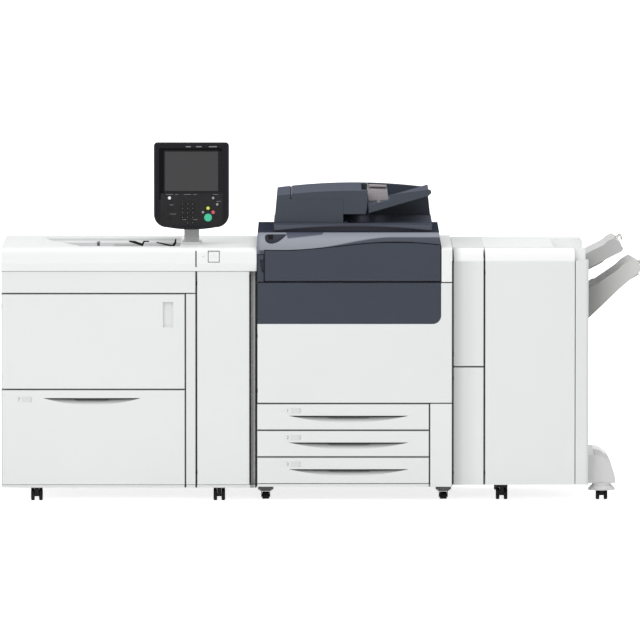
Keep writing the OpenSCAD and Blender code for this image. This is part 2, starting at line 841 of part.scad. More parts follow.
// Dark strip left of the toner cover, with a finger pocket at the cover's edge
pocket_top_share = 0.82;
pocket_low_share = 0.36;
trim_pocket_w = 18;
trim_drop = 19;
module left_trim() {
  x1 = x_engine + left_trim_w;
  top = wave_z(0) - trim_drop - seam / 2;
  low = z_toner + seam / 2;
  color(slate) difference() {
    block([x_engine + seam / 2, y_front, low], [x1 - seam / 2, engine_y, top]);
    pocket = [[x1, low + (top - low) * pocket_low_share],
      [x1 - trim_pocket_w / 2, low + (top - low) * pocket_low_share],
      [x1 - trim_pocket_w, low + (top - low) * pocket_top_share],
      [x1, low + (top - low) * pocket_top_share]];
    front_shape(pocket, y_front - cut, y_front + door_t / 2);
  }
}

// Toner cover: hinged along its lower edge, its top follows the wave
toner_x0 = x_engine + left_trim_w;
toner_x1 = dark_x1;
toner_low = z_toner + seam / 2;
toner_t = 22;
toner_axis_y = y_front + hinge_in;
toner_axis_z = toner_low + hinge_in;
toner_lug_w = 14;
toner_lug_in = 46;
module toner_cover() {
  x0 = toner_x0 + seam / 2;
  x1 = toner_x1 - seam / 2;
  edge = seam / (2 * dark_w);
  outline = concat([[x0, toner_axis_z]], wave_points(left_trim_w / dark_w + edge, 1 - edge, -seam),
    [[x1, toner_axis_z]]);
  color(slate) {
    difference() {
      union() {
        front_shape(outline, y_front, y_front + toner_t);
        block([x0, toner_axis_y, toner_low], [x1, y_front + toner_t, toner_axis_z + embed]);
        rod_x(hinge_in, x0, x1, toner_axis_y, toner_axis_z);
      }
      for (x = toner_lugs())
        block([x - seat, toner_axis_y - knuckle_r - knuckle_gap, toner_low - cut],
          [x + toner_lug_w + seat, y_front + toner_t + cut, toner_axis_z + knuckle_r + knuckle_gap]);
    }
    for (x = toner_lugs())
      rod_x(pin_r, x - seat - pin_embed, x + toner_lug_w + seat + pin_embed,
        toner_axis_y, toner_axis_z);
  }
}
function toner_lugs() = [toner_x0 + toner_lug_in, toner_x1 - toner_lug_in - toner_lug_w];

// Knuckles of the toner cover, on the engine frame
module toner_knuckles() {
  for (x = toner_lugs()) difference() {
    union() {
      rod_x(knuckle_r, x, x + toner_lug_w, toner_axis_y, toner_axis_z);
      block([x, toner_axis_y, toner_axis_z - knuckle_r],
        [x + toner_lug_w, engine_y + embed, toner_axis_z + knuckle_r]);
    }
    rod_x(pin_r + pin_fit, x - cut, x + toner_lug_w + cut, toner_axis_y, toner_axis_z);
  }
}

// Paper tray of the engine, counted from the top
tray_handle_w = 473;
tray_lip = 48;
tray_shift = 22;
module paper_tray(place) {
  z0 = z_trays + (3 - place) * tray_pitch;
  bin_z = z0 + tray_bin_lift;
  color(white) {
    drawer_front(x_engine, tray_x1, z0, z0 + tray_pitch, y_front, tray_handle_w, tray_lip, tray_shift);
    drawer_bin(tray_bin_x0, tray_bin_x1, bin_z, bin_z + tray_bin_h, tray_bin_y0, tray_bin_y0 + tray_bin_d);
  }
}

// Scanner

scanner_x0 = x_engine;
scanner_x1 = dark_x1 - seam;
fascia_back = 64;
fascia_top_drop = 3;
fascia_end = 96;
scanner_back = y_front + scanner_d;
side_lean = 4;
platen_w = 440;
platen_d = 304;
platen_t = 4;
platen_edge = 120;
lid_x0 = scanner_x0 + lid_left;
lid_x1 = lid_x0 + lid_w;
lid_set_back = 96;
lid_lip = 14;
lid_y0 = y_front + lid_set_back;
lid_y1 = scanner_back - 2 * knuckle_r - run_gap;
switch_in = 33;
switch_x = scanner_x0 + switch_in;
switch_w = 84;
switch_h = 36;
switch_low = 44;
switch_drop = 19;

// Side outline of the scanner, whose fascia leans back
scanner_side = concat(
  [[y_front, toner_bay_top], [y_front, z_toner + wave_low_h + seam]],
  oval_points(y_front + fascia_back, z_toner + wave_low_h + seam, fascia_back,
    z_scanner - fascia_top_drop - z_toner - wave_low_h - seam, 180, fascia_end, 10),
  [[lid_y0 - lid_lip, z_scanner], [scanner_back, z_scanner], [scanner_back, toner_bay_top]]);

module scanner_body() {
  // Front outline narrows a little to the top
  outline = [[scanner_x0, z_toner], [scanner_x0, worktop_h], [scanner_x0 + side_lean, z_scanner + cut],
    [scanner_x1 - side_lean, z_scanner + cut], [scanner_x1, worktop_h], [scanner_x1, z_toner]];
  below = concat([[scanner_x0 - cut, z_toner], [scanner_x0 - cut, wave_z(0) - trim_drop],
    [toner_x0, wave_z(0) - trim_drop]], wave_points(left_trim_w / dark_w, 1, 0), [[dark_x1 + cut, z_toner]]);
  color(slate) difference() {
    intersection() {
      side_shape(scanner_side, scanner_x0, scanner_x1);
      front_shape(outline, y_front - cut, scanner_back + cut);
    }
    front_shape(below, y_front - cut, engine_y);
    // Optics space under the glass
    block([scanner_x0 + 2 * wall, lid_y0 + wall, toner_bay_top + wall],
      [scanner_x1 - 2 * wall, scanner_back - 2 * wall, z_scanner - wall]);
    block([platen_x0, platen_y0, z_scanner - platen_t - seat],
      [platen_x0 + platen_w, platen_y0 + platen_d, z_scanner + cut]);
    block([platen_x0 + wall, platen_y0 + wall, z_scanner - wall - cut],
      [platen_x0 + platen_w - wall, platen_y0 + platen_d - wall, z_scanner]);
    // Almond pocket of the power switch
    switch_pocket();
    switch_space(cut, switch_hole, button_fit);
    // Sockets of the lid's knuckles
    for (x = lid_hinges())
      block([x - seat, lid_axis_y - lid_socket, lid_axis_z - lid_socket],
        [x + lid_hinge_w + seat, scanner_back + cut, z_scanner + cut]);
  }
  color(slate) for (x = lid_hinges())
    rod_x(pin_r, x - seat - pin_embed, x + lid_hinge_w + seat + pin_embed, lid_axis_y, lid_axis_z);
}

platen_x0 = (scanner_x0 + scanner_x1 - platen_w) / 2;
platen_y0 = lid_y0 + platen_edge / 2;

// Lid hinge: knuckles on the lid turn about pins in the scanner's back
lid_axis_y = scanner_back - knuckle_r;
lid_axis_z = z_scanner - knuckle_r;
lid_hinge_w = 60;
lid_socket = 16;
lid_hinge_in = 70;
function lid_hinges() = [lid_x0 + lid_hinge_in, lid_x0 + lid_w - lid_hinge_in - lid_hinge_w];

module switch_pocket() {
  points = stretch(switch_pocket_shares, switch_x, z_scanner - switch_low, switch_w, switch_h);
  front_shape(points, y_front - cut, y_front + fascia_back / 2 + switch_depth);
}
switch_pocket_shares = [[0, 0.86], [0, 0.5], [0.06, 0.2], [0.2, 0.02], [0.36, 0], [0.56, 0.14], [0.75, 0.42],
  [0.9, 0.72], [1, 0.97], [0.97, 1], [0.1, 1]];
switch_depth = 10;
rocker_w = 18;
rocker_h = 16;

// Space of the power button, which sits in a hole in the pocket's floor
switch_share = 0.26;
switch_hole = 9;
switch_travel = 1.5;
module switch_space(front, back, fit) {
  x = switch_x + switch_w * switch_share;
  y = y_front + fascia_back / 2 + switch_depth;
  z = z_scanner - switch_drop;
  block([x - rocker_w / 2 - fit, y - front, z - rocker_h / 2 - fit],
    [x + rocker_w / 2 + fit, y + back, z + rocker_h / 2 + fit]);
}

module power_switch() {
  color(black) switch_space(skin, switch_hole - switch_travel - seat, 0);
}

module platen_glass() {
  color([0.6, 0.75, 0.8]) block([platen_x0 + seat, platen_y0 + seat, z_scanner - platen_t - seat],
    [platen_x0 + platen_w - seat, platen_y0 + platen_d - seat, z_scanner - seat]);
}

// Document feeder: a lid over the glass that carries the feed unit and a rear wall

z_lid = z_scanner + seat + lid_h;
adf_y1 = lid_y1;
adf_y0 = lid_y0 + adf_in;
adf_d = adf_y1 - adf_y0;
adf_lean = 12;
adf_edge = 2;
adf_x0 = lid_x0 + adf_lean;
adf_x1 = lid_x1 - adf_edge;
crown_span = adf_x1 - adf_x0;
crown_r = (crown_span * crown_span / 4 + adf_crown * adf_crown) / (2 * adf_crown);
crown_x = (adf_x0 + adf_x1) / 2;
function crown_z(x) = z_lid + adf_h + adf_crown - crown_r + sqrt(crown_r * crown_r - pow(x - crown_x, 2));
function crown_points(from, to) = [for (i = [0:crown_steps])
  let (x = from + (to - from) * i / crown_steps) [x, crown_z(x)]];
crown_steps = 12;

cover_seam_in = 52;
cover_seam_x = adf_x0 + cover_seam_in;
cover_t = 20;
cover_axis_x = cover_seam_x + hinge_in + seam / 3;
cover_axis_z = crown_z(cover_axis_x) - hinge_in;
cover_low_z = cover_axis_z - hinge_in;
cover_x1 = lid_x0 + adf_unit_w;
cover_r = cover_x1 - cover_axis_x;
notch_l = 96;
notch_h = 36;
notch_x = cover_x1 - notch_l;
notch_z = z_lid + notch_h;
arc_low = asin((cover_axis_z - notch_z) / cover_r);
arc_high = asin((crown_z(cover_x1) - cover_axis_z) / cover_r);
cover_set_back = 24;
rear_wall_t = 46;
arch_sag = 15;
arch_edge = 20;
feed_roller_r = 11;
feed_roller_l = 34;
feed_shaft_r = 4;
roller_shares = [0.25, 0.5, 0.75];
output_ridge_h = 5;

module document_feeder() {
  arch_w = lid_w - 2 * arch_edge;
  arch_r = (arch_w * arch_w / 4 + arch_sag * arch_sag) / (2 * arch_sag);
  low = z_scanner + seat;
  unit = concat([[lid_x0 + adf_edge, z_lid - embed]], crown_points(adf_x0, cover_seam_x),
    [[cover_seam_x, cover_low_z - seat], [notch_x, cover_low_z - seat], [notch_x, z_lid - embed]]);
  wall_x = cover_x1 + adf_edge;
  rear = concat([[wall_x, z_lid - embed]],
    arc_points(cover_axis_x, cover_axis_z, cover_r + run_gap, -arc_low, arc_high, 6),
    crown_points(wall_x, adf_x1 - adf_lean), [[adf_x1, z_lid - embed]]);
  color(slate) difference() {
    union() {
      // Lid with a lip along its front
      block([lid_x0, lid_y0, low], [lid_x1, lid_y1, z_lid]);
      block([lid_x0 + adf_edge, lid_y0 - lid_lip, low + skin],
        [lid_x1 - adf_edge, lid_y0 + embed, z_lid - skin]);
      front_shape(unit, adf_y0, adf_y1);
      front_shape(rear, adf_y1 - rear_wall_t, adf_y1);
      // Link between unit and rear wall under the cover
      block([notch_x - embed, adf_y1 - rear_wall_t, z_lid - embed], [wall_x + embed, adf_y1, notch_z - seam]);
      // Ridge of the output tray
      block([notch_x - embed, adf_y0 + wall, z_lid - embed],
        [notch_x + wall, adf_y1 - rear_wall_t + embed, z_lid + output_ridge_h]);
      for (x = lid_hinges()) {
        block([x, lid_y1 - wall, low], [x + lid_hinge_w, lid_axis_y + knuckle_r, low + knuckle_h / 2]);
        block([x, lid_axis_y - knuckle_r, lid_axis_z],
          [x + lid_hinge_w, lid_axis_y + knuckle_r, low + embed]);
        rod_x(knuckle_r, x, x + lid_hinge_w, lid_axis_y, lid_axis_z);
      }
    }
    for (x = lid_hinges())
      rod_x(pin_r + pin_fit, x - cut, x + lid_hinge_w + cut, lid_axis_y, lid_axis_z);
    // Arched finger gap under the lip
    translate([(lid_x0 + lid_x1) / 2, lid_y0, low + skin + arch_sag - arch_r]) rotate([90, 0, 0])
      cylinder(r = arch_r, h = lid_lip + cut, $fn = 96);
    // Room for the cover's knuckles and the rollers
    block([cover_seam_x - cut, adf_y0 + wall, cover_low_z - 2 * feed_roller_r],
      [cover_seam_x + 6 * feed_roller_r, adf_y1 - wall, cover_low_z + cut]);
  }
  // Knuckles of the cover
  color(slate) for (y = cover_knuckles()) difference() {
    union() {
      rod_y(knuckle_r, y, y + knuckle_h, cover_axis_x, cover_axis_z);
      block([cover_seam_x - embed, y, cover_axis_z - knuckle_r],
        [cover_axis_x, y + knuckle_h, cover_axis_z + knuckle_r]);
    }
    rod_y(pin_r + pin_fit, y - cut, y + knuckle_h + cut, cover_axis_x, cover_axis_z);
  }
  // Shaft with its feed rollers under the cover
  color(black) translate([cover_seam_x + 3 * feed_roller_r, adf_y1 - wall + embed,
    cover_low_z - feed_roller_r - seam])
    rotate([90, 0, 0]) {
      cylinder(r = feed_shaft_r, h = adf_d - 2 * wall + 2 * embed);
      for (share = roller_shares)
        translate([0, 0, (adf_d - 2 * wall) * share - feed_roller_l / 2])
          cylinder(r = feed_roller_r, h = feed_roller_l);
    }
}
function cover_knuckles() = [adf_y0 + hinge_from_end, adf_y1 - hinge_from_end - knuckle_h];

module document_feeder_cover() {
  low_x = notch_x + run_gap;
  outline = concat([[cover_axis_x, cover_low_z], [low_x, cover_low_z], [low_x, notch_z]],
    arc_points(cover_axis_x, cover_axis_z, cover_r, -arc_low, arc_high, 6),
    [for (i = [1:crown_steps]) let (x = cover_x1 + (cover_axis_x - cover_x1) * i / crown_steps)
      [x, crown_z(x)]]);
  color(slate) {
    difference() {
      union() {
        front_shape(outline, adf_y0, adf_y1);
        rod_y(hinge_in, adf_y0, adf_y1, cover_axis_x, cover_axis_z);
      }
      // Cut back where the paper goes in between the guides
      block([cover_x1 - cover_set_back, adf_y0 + guide_from_front, notch_z - cut],
        [cover_x1 + cover_t, adf_y1 - guide_from_front, crown_z(crown_x) + cut]);
      for (y = cover_knuckles())
        block([cover_axis_x - hinge_in - cut, y - seat, cover_low_z - cut],
          [cover_axis_x + knuckle_r + knuckle_gap, y + knuckle_h + seat, crown_z(crown_x)]);
    }
    for (y = cover_knuckles())
      rod_y(pin_r, y - seat - pin_embed, y + knuckle_h + seat + pin_embed,
        cover_axis_x, cover_axis_z);
  }
}

// Document tray: a sloping bed behind a cheek, carried by the rear wall
guide_from_front = 70;
tray_x0 = cover_x1 + seam;
doc_tray_l = lid_x1 - seam - tray_x0;
doc_tray_end_r = 10;
cheek_t = 14;
doc_slope_shares = [0.96, 0.74];
tray_low_shares = [[0, 0], doc_slope_shares];
tray_lift = 4;
cheek_top_shares = [[1, 1], [0.34, 0.78], [0.33, 0.55], [0.02, 0.35]];
doc_tray_rise = 92;
tray_bed_t = 7;
module document_tray() {
  z0 = notch_z + tray_lift;
  x1 = tray_x0 + doc_tray_l;
  low = stretch(tray_low_shares, tray_x0, z0, doc_tray_l, doc_tray_rise);
  top = stretch(cheek_top_shares, tray_x0, z0, doc_tray_l, doc_tray_rise);
  tip = arc_points(x1 - doc_tray_end_r, z0 + doc_tray_rise - doc_tray_end_r, doc_tray_end_r, -60, 90, 6);
  cheek = concat(low, tip, [for (i = [1:3]) top[i]]);
  bed_rise = [0, tray_bed_t];
  bed = [low[0], low[1], [x1 - doc_tray_end_r, z0 + doc_tray_rise - doc_tray_end_r],
    low[1] + 2 * bed_rise, low[0] + 2 * bed_rise];
  y1 = adf_y1 - rear_wall_t;
  color(slate) {
    front_shape(cheek, adf_y0, adf_y0 + cheek_t);
    difference() {
      front_shape(bed, adf_y0 + cheek_t - embed, y1);
      // Slot along which the guides' feet slide
      block([tray_x0 + guide_slot_in - seat, adf_y0 + 2 * cheek_t, z0 - cut],
        [tray_x0 + guide_slot_in + guide_foot_w + seat, y1 - cheek_t, z0 + doc_tray_rise]);
    }
  }
}
guide_slot_in = 34;
doc_guide_l = 78;
doc_guide_h = 52;
doc_guide_t = 5;
doc_guide_shares = [[0, 0.12], [-0.06, 1.02], [0.22, 1.04], [0.94, 0.98], [1, 0.3], [0.96, 0.22]];
a3_w = 297;

// One document guide whose fence stands at y, with a hood to the side given by sign
module doc_guide(y, sign) {
  slope = doc_tray_rise * doc_slope_shares[1] / (doc_tray_l * doc_slope_shares[0]);
  bed_at = notch_z + tray_lift + 2 * tray_bed_t + guide_slot_in * slope;
  z0 = bed_at + seat + doc_guide_l * slope / 2;
  front_shape(stretch(doc_guide_shares, tray_x0 + seat, z0, doc_guide_l, doc_guide_h), y, y + doc_guide_t);
  foot_x = tray_x0 + guide_slot_in;
  block([foot_x, y, z0 - 2 * tray_bed_t - doc_guide_l * slope / 2],
    [foot_x + guide_foot_w, y + doc_guide_t, z0 + doc_guide_h / 2]);
  hood_y = sign > 0 ? y : y + doc_guide_t - hood_reach;
  front_shape(stretch(hood_shares, tray_x0, z0, doc_guide_l, doc_guide_h), hood_y, hood_y + hood_reach);
}
hood_reach = 26;
hood_shares = [[0.05, 0.86], [0.05, 1], [0.9, 0.95], [0.9, 0.86]];
doc_middle = (adf_y0 + adf_y1 - rear_wall_t) / 2;

module document_guide_front() {
  color(grey) doc_guide(doc_middle - a3_w / 2 - doc_guide_t, 1);
}

module document_guide_rear() {
  color(grey) doc_guide(doc_middle + a3_w / 2, -1);
}

// Control panel

panel_xc_share = 0.974;
panel_xc = x_feeder + feeder_w * panel_xc_share;
panel_z0 = worktop_h + panel_lift;
panel_in = 190;
panel_y0 = y_front + panel_in;
panel_top_r = 13;
panel_low_r = 50;
panel_bulge = 9;
panel_shell_t = 26;
panel_back_in = 14;
face_in = 6;
face_depth = 2;
tilt_back = 26;
tilt_head_r = 16;
tilt_pin_r = 5;
tilt_y = panel_y0 + panel_t + tilt_back;
tilt_share = 0.45;
tilt_z = panel_z0 + panel_h * tilt_share;
post_share = 0.75;
down = 270;
ear_t = 8;
post_d = 26;
foot_w = 76;
foot_d = 165;
foot_h = 9;

// Outline of the panel, drawn in by a margin
function panel_outline(margin) = let (half_w = panel_w / 2 - margin, x0 = panel_xc - half_w,
  x1 = panel_xc + half_w, z0 = panel_z0 + margin, z1 = z0 + panel_h - 2 * margin,
  rt = panel_top_r - margin / 2, rl = panel_low_r - margin / 2, half = half_w - rl,
  br = (half * half + panel_bulge * panel_bulge) / (2 * panel_bulge), ba = asin(half / br))
  concat(arc_points(x1 - rt, z1 - rt, rt, 0, 90, 5), arc_points(x0 + rt, z1 - rt, rt, 90, 180, 5),
    arc_points(x0 + rl, z0 + panel_bulge + rl, rl, 180, down, 8),
    arc_points(panel_xc, z0 + br, br, down - ba, down + ba, 8),
    arc_points(x1 - rl, z0 + panel_bulge + rl, rl, down, 360, 8));

module panel_post() {
  color(grey) difference() {
    union() {
      block([panel_xc - foot_w / 2, tilt_y - foot_d / 2 + post_d, worktop_h],
        [panel_xc + foot_w / 2, tilt_y + foot_d / 2 + post_d, worktop_h + foot_h]);
      block([panel_xc - post_w / 2, tilt_y - post_d / 4, worktop_h + foot_h - embed],
        [panel_xc + post_w / 2, tilt_y + post_d * post_share, tilt_z]);
      rod_x(tilt_head_r, panel_xc - post_w / 2, panel_xc + post_w / 2, tilt_y, tilt_z);
    }
    rod_x(tilt_pin_r + pin_fit, panel_xc - post_w / 2 - cut, panel_xc + post_w / 2 + cut, tilt_y, tilt_z);
  }
}

screen_x0 = panel_xc - screen_w / 2;
screen_top = 34;
screen_z1 = panel_z0 + panel_h - screen_top;
screen_z0 = screen_z1 - screen_h;
screen_depth = 4;
button_fit = 0.3;
button_depth = 12;
button_proud = 3;
button_travel = 2;
start_r = 15.5;
stop_r = 7;
clear_r = 6.6;
// Places on the face, as shares of the panel's size
start_at = [0.221, 0.138];
stop_at = [0.289, 0.199];
clear_at = [0.221, 0.246];
column_shares = [-0.119, -0.051, 0.017];
row_shares = [0.296, 0.246, 0.194, 0.141];
key_shares = [[-0.051, 0.079], [0.017, 0.079], [-0.293, 0.364], [-0.293, 0.246], [-0.293, 0.141],
  [0.153, 0.199], [0.289, 0.364], [0.344, 0.29]];
face_y = panel_y0 + face_depth;
mat_t = 2;
mat_in = 26;
key_h = 2.5;
key_r = 5.6;
mat_low = 16;
mat_gap = 8;
mat_z0 = panel_z0 + mat_low;
mat_z1 = screen_z0 - mat_gap;
mat_x0 = panel_xc - panel_w / 2 + mat_in;
mat_x1 = panel_xc + panel_w / 2 - mat_in;

// A round peg or hole in the panel's face, placed from the middle of the lower edge
module face_peg(at, r, from, to) {
  rod_y(r, from, to, panel_xc + at[0] * panel_w, panel_z0 + at[1] * panel_h);
}

// Holes of the three buttons
module button_holes(fit, depth) {
  face_peg(start_at, start_r + fit, face_y - cut, face_y + depth);
  face_peg(stop_at, stop_r + fit, face_y - cut, face_y + depth);
  face_peg(clear_at, clear_r + fit, face_y - cut, face_y + depth);
}

module panel_housing() {
  color([0.2, 0.21, 0.22]) {
    difference() {
      union() {
        front_shape(panel_outline(0), panel_y0, panel_y0 + panel_shell_t);
        front_shape(panel_outline(panel_back_in), panel_y0 + panel_shell_t - embed, panel_y0 + panel_t);
      }
      front_shape(panel_outline(face_in), panel_y0 - cut, face_y);
      block([screen_x0, face_y - cut, screen_z0], [screen_x0 + screen_w, face_y + screen_depth, screen_z1]);
      block([mat_x0, face_y - cut, mat_z0], [mat_x1, face_y + mat_t, mat_z1]);
      button_holes(button_fit, button_depth);
    }
    // Ears and pin of the tilt hinge
    for (x = [panel_xc - post_w / 2 - seat - ear_t, panel_xc + post_w / 2 + seat]) {
      block([x, panel_y0 + panel_t - embed, tilt_z - tilt_head_r], [x + ear_t, tilt_y, tilt_z + tilt_head_r]);
      rod_x(tilt_head_r, x, x + ear_t, tilt_y, tilt_z);
    }
    rod_x(tilt_pin_r, panel_xc - post_w / 2 - seat - embed, panel_xc + post_w / 2 + seat + embed,
      tilt_y, tilt_z);
  }
}

module touch_screen() {
  color([0.27, 0.28, 0.29]) block([screen_x0 + seat, face_y + screen_depth / 2, screen_z0 + seat],
    [screen_x0 + screen_w - seat, face_y + screen_depth, screen_z1 - seat]);
}

// A button: a shank in its hole and a head with a bevelled edge
module push_button(at, r) {
  bevel = button_proud / 2;
  face_peg(at, r, face_y - bevel, face_y + button_depth - button_travel - seat);
  translate([panel_xc + at[0] * panel_w, face_y - bevel + embed / 2, panel_z0 + at[1] * panel_h])
    rotate([90, 0, 0]) cylinder(r1 = r, r2 = r - bevel, h = bevel + embed / 2);
}

module start_button() {
  color([0.3, 0.78, 0.63]) push_button(start_at, start_r);
}

module stop_button() {
  color([0.84, 0.37, 0.45]) push_button(stop_at, stop_r);
}

module clear_button() {
  color([0.9, 0.92, 0.35]) push_button(clear_at, clear_r);
}

module keypad() {
  color([0.5, 0.5, 0.52]) {
    difference() {
      block([mat_x0 + seat, face_y, mat_z0 + seat], [mat_x1 - seat, face_y + mat_t, mat_z1 - seat]);
      button_holes(2 * button_fit, mat_t + cut);
    }
    for (x = column_shares, z = row_shares) face_peg([x, z], key_r, face_y - key_h, face_y + embed);
    for (at = key_shares) face_peg(at, key_r, face_y - key_h, face_y + embed);
  }
}

// Interface

// A hinged front whose upper end leans back in a quarter oval
crest_h = 54;
crest_d = 26;
crest_from = 172;
module crested_front(x0, x1, z0, z1, y, hinge_top) {
  profile = concat([[y - cut, z0 - cut], [y - cut, z1 - crest_h - cut], [y, z1 - crest_h]],
    oval_points(y + crest_d, z1 - crest_h, crest_d, crest_h - seam / 2, crest_from, 90, 9),
    [[y + door_t + cut, z1 - seam / 2], [y + door_t + cut, z0 - cut]]);
  intersection() {
    hinged_front(x0, x1, z0, z1, y, hinge_top);
    side_shape(profile, x0 - cut, x1 + cut);
  }
}

module interface_cabinet() {
  color(pale) {
    open_cabinet(x_interface, x_finisher, finisher_y, finisher_back, floor_gap, worktop_h);
    hinge_knuckles(x_interface, floor_gap, z_split, y_front);
    hinge_knuckles(x_interface, z_split, worktop_h, y_front);
    path_plates(x_interface + wall, x_finisher - wall, finisher_y, finisher_back, floor_gap, worktop_h);
  }
}

module interface_lower_door() {
  color(pale)
    hinged_front(x_interface, x_finisher, floor_gap, z_split, y_front, z_split);
}

module interface_upper_door() {
  color(pale)
    crested_front(x_interface, x_finisher, z_split, worktop_h, y_front, worktop_h);
}

// Finisher

finisher_y = y_front + front_depth;
column_x0 = x_end - column_w;
z_column = worktop_h - column_drop;
channel_w = 14;
channel_depth = 12;
channel_in = 60;
stacker_in = 110;
stacker_y0 = y_front + stacker_in;
stacker_y1 = stacker_y0 + out_tray_w;
stacker_drop = 230;
stack_z = z_column - stacker_drop;
stacker_rise = 227;
lug_h = 100;
exit_h = 26;
exit_share = 0.58;
function channels() = [stacker_y0 + channel_in, stacker_y1 - channel_in - channel_w];

module finisher_cabinet() {
  color(white) {
    difference() {
      union() {
        open_cabinet(x_finisher, x_end, finisher_y, finisher_back, floor_gap, z_column);
        block([column_x0, finisher_y, floor_gap], [column_x0 + wall, finisher_back, z_column]);
      }
      // Channels of the stacker tray
      for (y = channels())
        block([x_end - channel_depth, y, stack_z - stacker_travel - wall / 2],
          [x_end + cut, y + channel_w, stack_z + stacker_rise]);
      // Exit above the stacker tray's bed
      block([x_end - wall - cut, channels()[0] + 2 * channel_w, stack_z + stacker_rise * exit_share],
        [x_end + cut, channels()[1] - channel_w, stack_z + stacker_rise * exit_share + exit_h]);
      vents(x_finisher + vent_edge, finisher_back);
    }
    plain_front(column_x0, x_end + seam / 2, floor_gap, z_column + seam / 2, y_front);
    block([column_x0 + seam / 2, y_front + door_t - embed, floor_gap + seam / 2],
      [x_end, finisher_y + embed, z_column]);
    hinge_knuckles(x_finisher, floor_gap, z_column, y_front);
    path_plates(x_finisher + wall, column_x0, finisher_y, finisher_back, floor_gap, z_column);
  }
}

module finisher_door() {
  right = column_x0 - seam / 2;
  corner = concat([[x_finisher - cut, floor_gap], [x_finisher - cut, worktop_h]],
    arc_points(right - top_r, worktop_h - seam / 2 - top_r, top_r, 90, 0, 5), [[right, floor_gap]]);
  color(white) intersection() {
    crested_front(x_finisher, column_x0, floor_gap, worktop_h, y_front, z_column);
    front_shape(corner, y_front - cut, finisher_y);
  }
}

// Cover over the finisher with a recess for the upper tray
top_r = 12;
recess_l = 128;
recess_slant = 28;
recess_floor = 9;
recess_more = 90;
recess_y1 = stacker_y1 + recess_more;
module finisher_top_cover() {
  x1 = x_end - top_r;
  outline = concat([[x_finisher, z_column], [x_finisher, worktop_h]],
    arc_points(x1 - top_r, worktop_h - top_r, top_r, 90, 0, 5), [[x1, z_column]]);
  recess = [[x1 - recess_l, worktop_h + cut], [x1 - recess_l + recess_slant, z_column + 2 * recess_floor],
    [x1 + cut, z_column + recess_floor], [x1 + cut, worktop_h + cut]];
  color(pale) difference() {
    front_shape(outline, finisher_y, finisher_back);
    front_shape(recess, finisher_y + recess_floor, recess_y1);
    block([x_finisher + cover_wall, finisher_y + cover_wall, z_column - cut],
      [x1 - recess_l - cover_wall, finisher_back - cover_wall, worktop_h - 2 * cover_wall]);
  }
}

// Output trays: a bed between two cheeks, with ribs under the bed
upper_l = 138;
upper_drop = 41;
upper_rise = 121;
upper_shares = [[-0.07, 0.35], [-0.07, 0.5], [0.43, 0.78], [0.57, 0.92], [0.72, 1], [0.89, 0.89], [1, 0.67],
  [0.95, 0.58], [0.48, 0.31], [0.43, 0.24], [0.02, 0], [0, 0.35]];
upper_bed_shares = [[0, 0.12], [0, 0.3], [0.5, 0.62], [0.66, 0.78], [0.95, 0.66], [0.95, 0.58], [0.48, 0.33]];
stacker_shares = [[0, 0.01], [0, 0.49], [0.09, 0.57], [0.15, 0.58], [0.5, 0.82], [0.59, 0.91], [0.73, 1],
  [0.88, 0.91], [1, 0.85], [0.88, 0.79], [0.55, 0.51], [0.24, 0.21], [0.02, 0]];
stacker_bed_shares = [[0, 0.2], [0, 0.4], [0.2, 0.52], [0.55, 0.74], [0.7, 0.84], [0.9, 0.8], [0.88, 0.79],
  [0.55, 0.6], [0.24, 0.36]];
out_cheek_t = 12;
rib_count = 4;
rib_t = 4;
rib_shares = [0, 0.07];

// Cheeks, bed and ribs of one output tray
module output_tray(outline, bed, y0, y1) {
  front_shape(outline, y0, y0 + out_cheek_t);
  front_shape(outline, y1 - out_cheek_t, y1);
  front_shape(bed, y0 + out_cheek_t - embed, y1 - out_cheek_t + embed);
}

module upper_tray() {
  z0 = z_column - upper_drop;
  outline = stretch(upper_shares, x_end + seat, z0, upper_l, upper_rise);
  bed = stretch(upper_bed_shares, x_end + seat, z0, upper_l, upper_rise);
  color([0.7, 0.69, 0.67]) difference() {
    output_tray(outline, bed, stacker_y0, stacker_y1);
    block([x_end - 2 * top_r, stacker_y0 - cut, z0 - cut], [x_end, stacker_y1 + cut, z_column + seat]);
  }
}

module stacker_tray() {
  outline = stretch(stacker_shares, x_end + seat, stack_z, tray_reach - seat, stacker_rise);
  bed = stretch(stacker_bed_shares, x_end + seat, stack_z, tray_reach - seat, stacker_rise);
  color([0.66, 0.65, 0.63]) {
    output_tray(outline, bed, stacker_y0, stacker_y1);
    // Back plate against the column, with lugs that run in its channels
    block([x_end + seat, stacker_y0 + embed, stack_z + 2 * embed],
      [x_end + seat + skin, stacker_y1 - embed, stack_z + lug_h]);
    for (y = channels())
      block([x_end - channel_depth + run_gap, y + run_gap, stack_z + 2 * embed],
        [x_end + seat + embed, y + channel_w - run_gap, stack_z + lug_h]);
    for (i = [1:rib_count])
      front_shape(stretch([for (p = stacker_bed_shares) p - rib_shares], x_end + seat, stack_z,
        tray_reach - seat, stacker_rise),
        stacker_y0 + out_tray_w * i / (rib_count + 1), stacker_y0 + out_tray_w * i / (rib_count + 1) + rib_t);
  }
}

